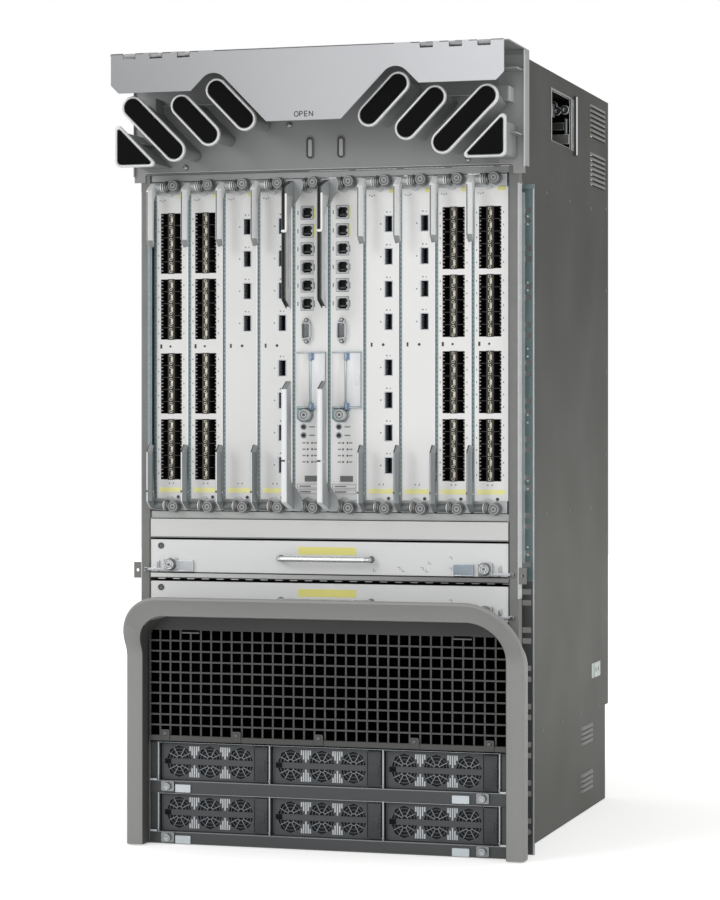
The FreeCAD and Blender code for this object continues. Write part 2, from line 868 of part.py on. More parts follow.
def controller_front(left):
    # Jacks, serial connector, flash-card door with its screw, and the holes of the push buttons.
    x0 = left + jack_centre - jack_size / 2
    y1 = plate_front_y + cage_depth / 2
    jack_base = card_mid + jack_top + jack_size / 2 - jack_pitch * (jack_count - 1) - jack_size
    cages = [box(x0 - cage_wall, x0 + jack_size + cage_wall, plate_front_y + plate_sheet, y1 + cage_wall,
                 jack_base - cage_wall, card_mid + jack_top + jack_size / 2 + cage_wall)]
    ports = []
    for jack in range(jack_count):
        z = jack_base + jack * jack_pitch
        ports.append(box(x0, x0 + jack_size, plate_front_y - sheet, y1, z, z + jack_size))
    serial_x = left + jack_centre
    serial_z = card_mid + serial_mid
    door_top = card_mid + flash_door_top
    door_foot = door_top - flash_door_height
    extras = [
        box(serial_x - serial_width / 2, serial_x + serial_width / 2, plate_front_y - serial_proud,
            plate_front_y, serial_z - serial_height / 2, serial_z + serial_height / 2),
        box(left + flash_door_margin, left + plate_width - flash_door_margin,
            plate_front_y - flash_door_proud, plate_front_y, door_foot, door_top),
        knob_y(left + jack_centre, door_foot - screw_radius - sheet, screw_radius,
               plate_front_y - screw_length, plate_front_y),
    ]
    # The holes run on into the board, as deep as a button reaches when it is pressed.
    hole_end = plate_front_y - button_proud + button_length + button_travel + seat_gap
    for height in button_heights:
        ports.append(knob_y(left + button_centre, card_mid + height, button_radius + seat_gap,
                            plate_front_y - sheet, hole_end))
    return cages, ports, extras


def card_end(left, end_z, inward):
    # Metal bracket at one end of a plate, with the thumb screw and the ears of the lever's pivot.
    far_z = end_z + inward * end_bracket_height
    low, high = min(end_z, far_z), max(end_z, far_z)
    pivot_z = end_z + inward * pivot_end_distance
    hub_end = left + lever_hub_end
    pieces = [box(left, left + plate_width, bracket_y, plate_front_y, low, high)]
    pieces.append(box(hub_end + seat_gap, hub_end + seat_gap + ear_plate,
                      pivot_y - lever_heel_radius, bracket_y,
                      pivot_z - lever_heel_radius, pivot_z + lever_heel_radius))
    pieces.append(knob_y(left + screw_offset, end_z + inward * screw_end_distance, screw_radius,
                         bracket_y - screw_length, bracket_y))
    return pieces


def card(slot, kind):
    left = slot_left(slot) + gasket_gap
    plate_back = plate_front_y + plate_sheet
    top = card_z + card_height
    plate = box(left, left + plate_width, plate_front_y, plate_back, card_z, top)
    pieces = [
        box(x0, x0 + plate_sheet, plate_back, plate_back + plate_return, card_z, top)
        for x0 in (left, left + plate_width - plate_sheet)
    ]
    board_x = board_left(slot)
    pieces.append(box(board_x, board_x + board_thickness, plate_back, board_back_y,
                      board_z, top - board_margin))
    centre = board_x + board_thickness / 2
    pieces.append(box(centre - connector_width / 2, centre + connector_width / 2,
                      board_back_y, board_back_y + connector_length,
                      card_mid - connector_height / 2, card_mid + connector_height / 2))
    pieces += card_end(left, card_z, 1) + card_end(left, top, -1)
    if kind == small_card:
        cages, ports, extras = small_port_cage(left)
    elif kind == half_card:
        cages, ports, extras = large_port_cage(left, (1,))
    elif kind == full_card:
        cages, ports, extras = large_port_cage(left, (1, -1))
    else:
        cages, ports, extras = controller_front(left)
    body = joined(plate, *pieces, *cages).cut(ports)
    return joined(body, *extras) if extras else body


def lever(slot, kind, end_z, inward):
    # Handle over the gap beside the plate, on a web with a round heel about the pivot.
    plate_left = slot_left(slot) + gasket_gap
    left = slot_left(slot) + seat_gap
    length, reach, depth = lever_length, lever_reach, lever_depth
    if kind == controller:
        length, reach, depth = long_lever_length, long_lever_reach, long_lever_depth
    pivot_z = end_z + inward * pivot_end_distance
    r = lever_heel_radius
    front = plate_front_y - reach - pivot_y
    back = front + depth
    turn = math.radians(lever_heel_turn)

    def at(y, z):
        return Vec(left, pivot_y + y, pivot_z + inward * z)

    heel = Part.Arc(at(0, -r), at(-r * math.sin(turn / 2), -r * math.cos(turn / 2)),
                    at(-r * math.sin(turn), -r * math.cos(turn))).toShape()
    rest = Part.makePolygon([
        at(-r * math.sin(turn), -r * math.cos(turn)), at(front, r), at(front, length - lever_tip),
        at(back, length), at(back, r - lever_web_slope * back), at(0, r), at(0, -r),
    ])
    arm = Part.Face(Part.Wire([heel] + rest.Edges)).extrude(Vec(lever_width, 0, 0))
    hub = prism_x(ring(pivot_y, pivot_z, lever_hub_radius, lever_hub_sides), left, plate_left + lever_hub_end)
    return joined(arm, hub)


def push_button(slot, height):
    x = slot_left(slot) + gasket_gap + button_centre
    front = plate_front_y - button_proud
    return knob_y(x, card_mid + height, button_radius, front, front + button_length)


# Cable hood

def hinge_axis():
    return door_sheet + seat_gap + hinge_pin_radius - hood_reach, overall_height - hinge_drop


def hood_panel():
    # The top plate ends behind the circle that the door's upper edge sweeps round the hinge pin.
    outer = hood_half_width
    top = overall_height
    hinge_y, hinge_z = hinge_axis()
    top_front = hinge_y + math.hypot(hood_reach + hinge_y, hinge_drop) + seat_gap
    back_plate = box(-outer, outer, -hood_sheet, 0, hood_z, top)
    top_plate = box(-outer, outer, top_front, 0, top - hood_sheet, top)
    pieces = [top_plate]
    for x0 in (-outer, outer - hood_sheet):
        pieces.append(box(x0, x0 + hood_sheet, 0, hood_return, hood_z, top))
    for x0 in (-outer, outer - hood_tab_width):
        pieces.append(box(x0, x0 + hood_tab_width, -hood_sheet, 0, hood_z - hood_tab_drop, hood_z))
    for x in (-hood_slot_centre, hood_slot_centre):
        half = (hood_slot_length - hood_slot_width) / 2
        z = hood_z + hood_slot_height
        pieces.append(bar_y(((x, z - half), (x, z + half)), hood_slot_width / 2,
                            -hood_sheet - hood_slot_proud, -hood_sheet))
    for x in knuckle_starts():
        pieces.append(box(x, x + knuckle_length, hinge_y - knuckle_half, top_front,
                          hinge_z - knuckle_half, top))
    pin_end = half_rack - max(knuckle_insets) - knuckle_length / 2
    pieces.append(round_x(hinge_y, hinge_z, hinge_pin_radius, -pin_end, pin_end))
    return joined(back_plate, *pieces)


def knuckle_starts():
    places = [half_rack - inset - knuckle_length / 2 for inset in knuckle_insets]
    return places + [-place - knuckle_length for place in places]


def hood_ends(ends):
    return tuple((half_rack - inset, hood_z + height) for inset, height in ends)


def corner_guide(inset, y0, y1):
    # Upright outer side, level foot and a slope at 45 degrees, with rounded corners.
    right = corner_guide_x - inset
    foot = hood_z + corner_guide_foot + inset
    size = corner_guide_size - inset - inset / math.tan(math.pi / 8)
    corners = [(right - size, foot), (right, foot), (right, foot + size)]
    return prism_y(rounded(corners, corner_guide_radius - inset, corner_guide_facets), y0, y1)


def cable_guides():
    cap_y = -guide_reach
    post_y = cap_y + guide_cap_thickness
    pieces = []
    for ends in guide_ends:
        placed = hood_ends(ends)
        pieces.append(bar_y(placed, guide_radius, cap_y, post_y))
        (xa, za), (xb, zb) = placed
        length = math.hypot(xb - xa, zb - za)
        half = guide_post_width / 2 / length
        dx, dz = (zb - za) * half, (xa - xb) * half
        pieces.append(prism_y([(xa + dx, za + dz), (xb + dx, zb + dz), (xb - dx, zb - dz), (xa - dx, za - dz)],
                              post_y, -hood_sheet))
    pieces.append(corner_guide(0, cap_y, post_y))
    pieces.append(corner_guide(guide_rim, post_y, -hood_sheet))
    return pieces + [mirrored(piece) for piece in pieces]


def guide_end_pads():
    cap_y = -guide_reach
    pad_y = cap_y - guide_pad_thickness
    pads = [bar_y(hood_ends(ends), guide_radius - guide_rim, pad_y, cap_y) for ends in guide_ends]
    pads.append(corner_guide(guide_rim, pad_y, cap_y))
    return pads + [mirrored(pad) for pad in pads]


def hood_door():
    # The door's lower edge runs round the inner guides, and notches clear the hinge knuckles.
    front = -hood_reach
    back = front + door_sheet
    top = overall_height
    side_z = top - door_side_height
    tab_z0 = top - door_tab_height
    (xa, za), (xb, zb) = hood_ends(guide_ends[0])
    slope = (xb - xa) / (zb - za)
    tab_half = xa + (tab_z0 - za) * slope
    side_half = xa + (side_z - za) * slope
    half = door_half_width
    right = [
        (tab_half, tab_z0), (side_half, side_z), (half - door_chamfer, side_z),
        (half, side_z + door_chamfer), (half, top),
    ]
    outline = right + [(-x, z) for x, z in reversed(right)]
    door = prism_y(outline, front, back)
    below = (xa - (xb - xa), za - (zb - za))
    notch = bar_y((below, (xb, zb)), guide_radius + door_guide_gap, front - sheet, back + sheet)
    cuts = both_sides(notch)
    for x in knuckle_starts():
        cuts.append(box(x - knuckle_gap, x + knuckle_length + knuckle_gap, front - sheet, back + sheet,
                        top - knuckle_notch, top + sheet))
    return door.cut(cuts)


os.makedirs("parts", exist_ok=True)

write("side_panel_right", [side_panel(True)])
write("side_panel_left", [mirrored(side_panel(False))])
write("end_panels", end_panels())
write("rear_panel", [rear_panel()])
write("rack_ears", both_sides(rack_ear()))
write("power_trays", [piece for tray in range(tray_count) for piece in power_tray(tray)])
write("power_inlets", [mains_inlet(x, z) for x, z in inlet_centres()])
write("intake_grille", intake_grille())
write("air_filter", [air_filter()])
write("lower_bezel", [lower_bezel()])
write("fan_tray_lower", fan_tray(lower_fan_z))
write("fan_tray_upper", fan_tray(upper_fan_z))
write("front_cross_panels", front_cross_panels())
write("card_cage_floor", [cage_shelf(cage_floor_z, 1, board_z)])
write("card_cage_roof", [cage_shelf(cage_roof_z, -1, card_z + card_height - board_margin)])
write("backplane", [backplane()])
write("hood_panel", [hood_panel()])
write("cable_guides", cable_guides())
write("guide_end_pads", guide_end_pads())
write("hood_door", [hood_door()])

for tray in range(tray_count):
    for column in range(modules_per_tray):
        number = tray * modules_per_tray + column + 1
        write("power_module_%d" % number, [power_module(tray, column)])

for slot, kind in enumerate(card_kinds):
    write("card_%02d" % (slot + 1), [card(slot, kind)])
    write("lever_foot_%02d" % (slot + 1), [lever(slot, kind, card_z, 1)])
    write("lever_top_%02d" % (slot + 1), [lever(slot, kind, card_z + card_height, -1)])
    if kind == controller:
        for place, height in enumerate(button_heights):
            write("push_button_%02d_%d" % (slot + 1, place + 1), [push_button(slot, height)])
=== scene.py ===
import math

import bmesh
import bpy
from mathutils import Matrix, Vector


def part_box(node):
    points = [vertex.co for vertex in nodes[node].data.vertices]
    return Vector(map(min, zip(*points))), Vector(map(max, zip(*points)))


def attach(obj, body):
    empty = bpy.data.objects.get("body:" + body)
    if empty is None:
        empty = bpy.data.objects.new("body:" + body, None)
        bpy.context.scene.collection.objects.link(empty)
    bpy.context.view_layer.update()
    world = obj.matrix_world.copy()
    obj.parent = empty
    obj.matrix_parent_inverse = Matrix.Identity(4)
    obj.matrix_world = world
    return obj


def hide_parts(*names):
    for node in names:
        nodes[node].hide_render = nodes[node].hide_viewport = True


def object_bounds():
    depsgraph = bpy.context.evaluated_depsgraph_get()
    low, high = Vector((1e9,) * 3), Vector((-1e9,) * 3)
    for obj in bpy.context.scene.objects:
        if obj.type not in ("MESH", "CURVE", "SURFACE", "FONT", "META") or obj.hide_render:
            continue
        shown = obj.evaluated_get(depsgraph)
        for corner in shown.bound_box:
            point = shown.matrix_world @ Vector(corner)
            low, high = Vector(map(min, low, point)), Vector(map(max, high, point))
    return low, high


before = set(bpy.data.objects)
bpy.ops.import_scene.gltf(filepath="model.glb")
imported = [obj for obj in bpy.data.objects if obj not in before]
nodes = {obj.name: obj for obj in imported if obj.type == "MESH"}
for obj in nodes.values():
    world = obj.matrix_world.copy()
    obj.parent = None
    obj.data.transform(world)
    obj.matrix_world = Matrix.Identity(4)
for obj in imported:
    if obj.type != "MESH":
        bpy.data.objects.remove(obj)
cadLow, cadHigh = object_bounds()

scene = bpy.context.scene
mm = 0.001
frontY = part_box("side_panel_right")[0].y / mm  # front of the mounting flanges
topZ = cadHigh.z / mm
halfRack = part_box("rack_ears")[1].x / mm
print("frame loaded:", len(nodes), "nodes")

# sizes are in millimetres: x to the right, y back from the flange front, z up from the floor


def spot(x, y, z):
    return Vector((x * mm, (y + frontY) * mm, z * mm))


viewSet = {"turn": 16.66, "right": 39.88, "back": 3226.2, "height": 502.3, "focalPixels": 2747.1,
    "horizonRow": 423.2, "imageRows": 900, "sensor": 36.0}


def addCamera():
    turn = math.radians(viewSet["turn"])
    data = bpy.data.cameras.new("photoCamera")
    camera = bpy.data.objects.new("photoCamera", data)
    scene.collection.objects.link(camera)
    x = viewSet["right"] * math.cos(turn) + viewSet["back"] * math.sin(turn)
    y = viewSet["right"] * math.sin(turn) - viewSet["back"] * math.cos(turn)
    camera.location = spot(x, y, viewSet["height"])
    camera.rotation_euler = (math.pi / 2, 0, turn)
    data.sensor_width = viewSet["sensor"]
    data.lens = viewSet["focalPixels"] * viewSet["sensor"] / viewSet["imageRows"]
    data.shift_y = viewSet["horizonRow"] / viewSet["imageRows"] - 0.5  # the camera was level
    data.clip_end = 60
    scene.camera = camera


addCamera()
print("camera set")


# materials

def ink(r, g, b):
    # a colour as read off a screen, made linear
    def line(v):
        v = v / 255
        return v / 12.92 if v <= 0.04045 else ((v + 0.055) / 1.055) ** 2.4
    return (line(r), line(g), line(b), 1.0)


def addNoise(tree, vector, scale, detail=3.0):
    noise = tree.nodes.new("ShaderNodeTexNoise")
    noise.inputs["Scale"].default_value = scale
    noise.inputs["Detail"].default_value = detail
    tree.links.new(vector, noise.inputs["Vector"])
    return noise.outputs["Fac"]


def feed(tree, socket, value):
    # a link from another node, or a plain value
    if isinstance(value, bpy.types.NodeSocket):
        tree.links.new(value, socket)
    else:
        socket.default_value = value


def addMath(tree, kind, a, b):
    node = tree.nodes.new("ShaderNodeMath")
    node.operation = kind
    feed(tree, node.inputs[0], a)
    feed(tree, node.inputs[1], b)
    return node.outputs[0]


def addRange(tree, value, low, high, fromLow=0.3, fromHigh=0.7):
    node = tree.nodes.new("ShaderNodeMapRange")
    node.inputs["From Min"].default_value = fromLow
    node.inputs["From Max"].default_value = fromHigh
    node.inputs["To Min"].default_value = low
    node.inputs["To Max"].default_value = high
    tree.links.new(value, node.inputs["Value"])
    return node.outputs["Result"]


def addMix(tree, factor, a, b):
    node = tree.nodes.new("ShaderNodeMix")
    node.data_type = "RGBA"
    tree.links.new(factor, node.inputs["Factor"])
    feed(tree, node.inputs[6], a)
    feed(tree, node.inputs[7], b)
    return node.outputs[2]


def addBlend(tree, factor, a, b):
    # one number or the other, by a mask
    node = tree.nodes.new("ShaderNodeMix")
    tree.links.new(factor, node.inputs["Factor"])
    feed(tree, node.inputs[2], a)
    feed(tree, node.inputs[3], b)
    return node.outputs[0]


def openFinish(material):
    tree = material.node_tree
    return tree, tree.nodes["Principled BSDF"], tree.nodes.new("ShaderNodeTexCoord").outputs["Object"]


def splitAxes(tree, coords):
    split = tree.nodes.new("ShaderNodeSeparateXYZ")
    tree.links.new(coords, split.inputs[0])
    return split.outputs


def shaded(colour, share):
    return tuple(min(1.0, c * share) for c in colour[:3]) + (1.0,)


def makeFinish(name, colour, rough=0.45, metal=0.0, tint=0.06, patch=9.0, grain=900.0, bump=0.15,
        brush=None, coat=0.0, roughSwing=0.08, edge=0.0, gloss=0.5):
    # brush stretches the grain: the scale along x, y and z
    material = bpy.data.materials.new(name)
    material.use_nodes = True
    tree, shader, coords = openFinish(material)
    shader.inputs["Metallic"].default_value = metal
    shader.inputs["Coat Weight"].default_value = coat
    shader.inputs["Specular IOR Level"].default_value = gloss
    grainCoords = coords
    if brush:
        mapping = tree.nodes.new("ShaderNodeMapping")
        mapping.inputs["Scale"].default_value = brush
        tree.links.new(coords, mapping.inputs["Vector"])
        grainCoords = mapping.outputs["Vector"]
    cloud = addNoise(tree, coords, patch, 5.0)
    fine = addNoise(tree, grainCoords, grain, 2.0)
    worn = addMath(tree, "ADD", addMath(tree, "MULTIPLY", cloud, 0.7), addMath(tree, "MULTIPLY", fine, 0.3))
    base = addMix(tree, addRange(tree, worn, 0.0, 1.0), shaded(colour, 1 - tint), shaded(colour, 1 + tint))
    tree.links.new(base, shader.inputs["Base Color"])
    tree.links.new(addRange(tree, worn, rough - roughSwing, rough + roughSwing), shader.inputs["Roughness"])
    lift = tree.nodes.new("ShaderNodeBump")
    lift.inputs["Strength"].default_value = bump
    lift.inputs["Distance"].default_value = 0.15 * mm
    tree.links.new(fine, lift.inputs["Height"])
    if edge:
        soft = tree.nodes.new("ShaderNodeBevel")
        soft.samples = 4
        soft.inputs["Radius"].default_value = edge * mm
        tree.links.new(soft.outputs["Normal"], lift.inputs["Normal"])
    tree.links.new(lift.outputs["Normal"], shader.inputs["Normal"])
    return material


def addZone(material, ranges, colour, rough=None, metal=None, tint=0.06):
    # repaints what lies inside a box, given as axis: (low, high) in millimetres
    tree, shader, coords = openFinish(material)
    axes = splitAxes(tree, coords)
    mask = None
    for axis, (low, high) in ranges.items():
        shift = frontY if axis == "Y" else 0.0
        node = tree.nodes.new("ShaderNodeMath")
        node.operation = "COMPARE"
        tree.links.new(axes[axis], node.inputs[0])
        node.inputs[1].default_value = ((low + high) / 2 + shift) * mm
        node.inputs[2].default_value = (high - low) / 2 * mm
        mask = node.outputs[0] if mask is None else addMath(tree, "MULTIPLY", mask, node.outputs[0])
    cloud = addNoise(tree, coords, 40.0, 4.0)
    painted = addMix(tree, addRange(tree, cloud, 0.0, 1.0), shaded(colour, 1 - tint),
        shaded(colour, 1 + tint))
    before = shader.inputs["Base Color"].links[0].from_socket
    tree.links.new(addMix(tree, mask, before, painted), shader.inputs["Base Color"])
    if rough is not None:
        before = shader.inputs["Roughness"].links[0].from_socket
        tree.links.new(addBlend(tree, mask, before, rough), shader.inputs["Roughness"])
    if metal is not None:
        links = shader.inputs["Metallic"].links
        before = links[0].from_socket if links else shader.inputs["Metallic"].default_value
        tree.links.new(addBlend(tree, mask, before, metal), shader.inputs["Metallic"])
    return material


def addFade(material, axis, ends, shares):
    # dims the colour along an axis, from one share to another
    tree, shader, coords = openFinish(material)
    share = addRange(tree, splitAxes(tree, coords)[axis], *shares, ends[0] * mm, ends[1] * mm)
    before = shader.inputs["Base Color"].links[0].from_socket
    tree.links.new(addMix(tree, share, (0, 0, 0, 1), before), shader.inputs["Base Color"])


def dress(material, *names):
    for name in names:
        slots = nodes[name].data.materials
        slots.clear()
        slots.append(material)


def look(r, g, b, **rest):
    return {"colour": ink(r, g, b), **rest}


brushed = {"grain": 220, "brush": (1, 1, 0.05)}
looks = {
    "sidePaint": look(118, 118, 114, rough=0.6, tint=0.05, grain=1500, bump=0.25, edge=0.5, gloss=0.12),
    "hoodPaint": look(146, 147, 147, rough=0.42, grain=1500, bump=0.2, edge=0.4),
    "silverPaint": look(204, 205, 208, rough=0.36, metal=0.25, tint=0.03, patch=5, grain=2200, bump=0.12),
    "whitePaint": look(232, 232, 231, rough=0.4, tint=0.025, grain=1500, bump=0.12),
    "darkPaint": look(64, 66, 67, tint=0.08, grain=1400, bump=0.2, edge=0.4),
    "grillePaint": look(68, 68, 67, rough=0.5, grain=1200),
    "zinc": look(150, 160, 162, rough=0.4, metal=0.75, tint=0.09, patch=22, grain=160, brush=(1, 1, 0.06),
        bump=0.1, edge=0.3),
    "greySteel": look(140, 142, 144, rough=0.34, metal=0.75, tint=0.1, patch=30, **brushed, bump=0.08),
    "sideSteel": look(176, 180, 184, rough=0.34, metal=0.7, patch=30, **brushed, bump=0.08),
    "shadowSteel": look(96, 98, 100, rough=0.38, metal=0.7, tint=0.12, grain=500),
    "bezelPlastic": look(146, 146, 144, rough=0.5, tint=0.03, grain=1800, bump=0.3),
    "rimPlastic": look(214, 215, 216, rough=0.3, metal=0.2, tint=0.03, grain=1300),
    "postPlastic": look(138, 140, 140, rough=0.5, tint=0.25, patch=45, grain=1100, gloss=0.3),
    "padRubber": look(14, 14, 14, gloss=0.05, rough=0.72, tint=0.35, patch=260, grain=1700, bump=0.5),
    "blackPlastic": look(22, 22, 23, rough=0.5, tint=0.2),
    "foam": look(2, 2, 2, gloss=0.0, rough=0.95, tint=0.4, patch=300, grain=700, bump=0.9),
    "laminate": look(34, 84, 58, rough=0.4, tint=0.14, patch=60, grain=600),
    "yellowField": look(240, 233, 138, rough=0.5, tint=0.05, grain=800),
    "trayPaint": look(232, 233, 233, rough=0.38, tint=0.02, patch=4, grain=1500, bump=0.1),
    "plateSteel": look(196, 204, 208, rough=0.42, metal=0.4, tint=0.05, grain=700),
    "handleSteel": look(206, 208, 210, rough=0.26, metal=0.85, grain=300),
    "fanBlade": look(40, 41, 43, tint=0.15),
    "moduleFrame": look(70, 72, 75, tint=0.1, grain=1300),
    "moduleGrip": look(44, 46, 48, rough=0.5, tint=0.1, grain=1300),
    "guardWire": look(78, 82, 85, rough=0.35, metal=0.6, tint=0.1, grain=500),
    "guardBar": look(128, 132, 136, rough=0.34, metal=0.6, tint=0.1, grain=500),
    "partitionEdge": look(168, 172, 175, rough=0.36, metal=0.7, tint=0.08, grain=400),
    "railEdge": look(128, 131, 134, rough=0.4, metal=0.5, tint=0.08, grain=600),
    "wordInk": look(52, 52, 54, rough=0.5, tint=0.08),
    "hoodEdge": look(196, 197, 198, rough=0.4, metal=0.2, tint=0.04),
    "slotShadow": look(64, 64, 64, rough=0.6, tint=0.1),
    "earEdge": look(214, 220, 222, rough=0.35, metal=0.3, tint=0.05, grain=500),
    "louvrePaint": look(112, 112, 108, rough=0.5, tint=0.05, grain=1500, bump=0.2),
    "rivetPaint": look(112, 112, 108, grain=1200),
    "pocketDark": look(8, 8, 8, gloss=0.05, rough=0.8, tint=0.3, grain=800),
    "pocketParts": look(36, 37, 37, rough=0.5, tint=0.2, patch=60, grain=800),
    "leverWhite": look(222, 224, 225, rough=0.3, metal=0.2, tint=0.03, **brushed),
    "leverPale": look(238, 239, 240, rough=0.32, patch=30, **brushed),
    "leverBlue": look(122, 127, 129, rough=0.32, metal=0.3, tint=0.08, patch=30, **brushed),
    "leverTip": look(150, 152, 153, rough=0.35, metal=0.4, tint=0.1, patch=40, grain=400),
    "screwSteel": look(128, 128, 127, rough=0.36, metal=0.55, tint=0.12, patch=60, grain=500),
    "barrelPale": look(184, 187, 188, rough=0.36, metal=0.2, tint=0.08, patch=40, grain=300),
    "barrelGrey": look(112, 116, 117, rough=0.4, metal=0.2, tint=0.12, patch=40, grain=300),
    "gasketShade": look(92, 108, 112, rough=0.5, metal=0.2, tint=0.12, patch=40, grain=300),
    "rowLine": look(46, 44, 41, rough=0.5, tint=0.15, grain=600),
    "leafSteel": look(204, 199, 180, rough=0.4, metal=0.2, tint=0.15, patch=90, grain=600),
    "jackSteel": look(206, 209, 211, rough=0.4, tint=0.15, patch=60, grain=600),
    "portBlack": look(14, 14, 14, gloss=0.1, rough=0.6, tint=0.3, grain=600),
    "displayGrey": look(104, 105, 104, rough=0.4, tint=0.1),
    "bluePlate": look(142, 153, 163, rough=0.4, metal=0.2, grain=400),
    "trayPlate": look(188, 192, 194, rough=0.4, metal=0.15, tint=0.05, grain=400),
    "leverDark": look(66, 68, 68, rough=0.4, metal=0.3, tint=0.12, grain=500),
    "leverOpen": look(216, 218, 218, rough=0.32, patch=30, **brushed),
    "leverGrey": look(178, 180, 181, rough=0.34, metal=0.1, tint=0.1, patch=30, **brushed),
    "lobeGrey": look(150, 153, 154, rough=0.36, metal=0.3, tint=0.15, patch=40, grain=300),
    "elbowWhite": look(252, 252, 252, rough=0.28, tint=0.03, grain=500),
    "yellowStrip": look(252, 247, 172, rough=0.5, tint=0.05, grain=800),
    "screwRing": look(166, 168, 169, rough=0.4, metal=0.2, tint=0.1, patch=60, grain=500),
    "hingeGrey": look(150, 151, 152, rough=0.4, metal=0.2, tint=0.08, grain=500),
    "slotInsert": look(176, 177, 177, tint=0.08),
    "bezelShade": look(74, 74, 73, rough=0.55, tint=0.05, grain=1800, bump=0.3),
    "shelfSteel": look(212, 214, 212, rough=0.4, metal=0.1, tint=0.05, patch=25, grain=300),
    "seamDark": look(26, 27, 27, gloss=0.1, rough=0.7, tint=0.2, grain=700),
    "finSteel": look(186, 190, 193, rough=0.36, metal=0.4, tint=0.1, grain=300),
    "limeField": look(234, 231, 150, rough=0.5, tint=0.05, grain=800),
    "greyInk": look(128, 130, 132, rough=0.6, tint=0.12, grain=700),
    "stripSteel": look(30, 28, 24, rough=0.5, tint=0.1, grain=500),
    "brassPin": look(206, 178, 110, rough=0.3, metal=0.9, tint=0.08, grain=500),
    "coolPaint": look(236, 238, 240, rough=0.36, tint=0.03, grain=1200),
    "bluePaint": look(104, 134, 172, rough=0.4, tint=0.08),
    "lampGrey": look(84, 88, 86, rough=0.25, tint=0.12, grain=500, coat=0.4),
    "darkInk": look(52, 53, 54, rough=0.6, tint=0.15, grain=700),
    "gasketMesh": look(136, 152, 156, rough=0.42, metal=0.2, tint=0.16, patch=300, grain=700),
}
finishes = {name: makeFinish(name, **each) for name, each in looks.items()}
# painted shade: the shelf face darkens towards the right
addFade(finishes["shelfSteel"], "X", (-200, 150), (1.0, 0.3))
# painted shade: the side walls grow darker towards the top
addFade(finishes["sidePaint"], "Z", (250, 880), (1.0, 0.72))
# painted shade: the open levers' pale cheek is darker near the pivot, from Z 768 to 800
addZone(finishes["leverOpen"], {"Z": (768.0, 800.0)}, ink(184, 186, 186), 0.36, 0.1)
# painted light: the right end of the hood's back plate is lighter
addZone(finishes["hoodPaint"], {"X": (209.0, 245.0), "Y": (-14.0, 3.0), "Z": (790.0, 926.0)},
    ink(164, 165, 165), 0.42, 0.0)
print("materials:", len(finishes))


# mesh tools

def addBox(bm, one, other, finish=0):
    # between any two opposite corners
    low, high = zip(*(sorted(pair) for pair in zip(one, other)))
    corners = [bm.verts.new(spot(x, y, z)) for z in (low[2], high[2]) for x, y in ((low[0], low[1]),
        (high[0], low[1]), (high[0], high[1]), (low[0], high[1]))]
    for ring in ((3, 2, 1, 0), (4, 5, 6, 7), (0, 1, 5, 4), (1, 2, 6, 5), (2, 3, 7, 6), (3, 0, 4, 7)):
        bm.faces.new([corners[i] for i in ring]).material_index = finish


def placed(axis, u, v, t):
    return {"x": (t, u, v), "y": (u, t, v), "z": (u, v, t)}[axis]


def addPull(bm, outline, axis, start, end, finish=0):
    # an outline pulled along an axis: drawn in y, z for x; in x, z for y; in x, y for z
    rings = [[bm.verts.new(spot(*placed(axis, u, v, t))) for u, v in outline] for t in (start, end)]
    count = len(outline)
    bm.faces.new(rings[0]).material_index = finish
    bm.faces.new(rings[1][::-1]).material_index = finish
    for i in range(count):
        j = (i + 1) % count
        bm.faces.new((rings[0][j], rings[0][i], rings[1][i], rings[1][j])).material_index = finish


def ringAt(bm, axis, u, v, t, radii):
    # points about a line along an axis, with a radius for each
    turns = [2 * math.pi * i / len(radii) for i in range(len(radii))]
    places = [placed(axis, u + r * math.cos(a), v + r * math.sin(a), t) for r, a in zip(radii, turns)]
    return [bm.verts.new(spot(*place)) for place in places]


def addTurned(bm, axis, u, v, profile, sides=24, finish=0, ridges=0.0):
    # a turned piece about a line along an axis: (radius, place) pairs; ridges knurls the widest part
    rings = []
    widest = max(radius for radius, t in profile)
    for radius, t in profile:
        knurl = ridges if radius > widest - 0.01 else 0.0
        rings.append(ringAt(bm, axis, u, v, t, [radius - (knurl if i % 2 else 0.0) for i in range(sides)]))
    joinRings(bm, rings, finish)


def joinRings(bm, rings, finish=0, capped=True):
    for a, b in zip(rings, rings[1:]):
        for i in range(len(a)):
            j = (i + 1) % len(a)
            bm.faces.new((a[i], a[j], b[j], b[i])).material_index = finish
    if capped:
        bm.faces.new(rings[0][::-1]).material_index = finish
        bm.faces.new(rings[-1]).material_index = finish


def addRod(bm, path, radius, sides=14, finish=0):
    points = [spot(*p) for p in path]
    rings = []
    side = None
    for i, point in enumerate(points):
        ahead = points[min(i + 1, len(points) - 1)] - points[max(i - 1, 0)]
        ahead.normalize()
        if side is None:
            side = ahead.orthogonal().normalized()
        side = (side - ahead * side.dot(ahead)).normalized()
        other = ahead.cross(side)
        turns = [2 * math.pi * k / sides for k in range(sides)]
        rings.append([bm.verts.new(point + (side * math.cos(t) + other * math.sin(t)) * radius * mm)
            for t in turns])
    joinRings(bm, rings, finish)


def arc(u, v, radius, start, end, steps):
    turns = [math.radians(start + (end - start) * i / steps) for i in range(steps + 1)]
    return [(u + radius * math.cos(t), v + radius * math.sin(t)) for t in turns]


def stadium(ends, radius, steps=14):
    (ua, va), (ub, vb) = ends
    heading = math.degrees(math.atan2(vb - va, ub - ua))
    return arc(ub, vb, radius, heading - 90, heading + 90, steps) + arc(ua, va, radius, heading + 90,
        heading + 270, steps)


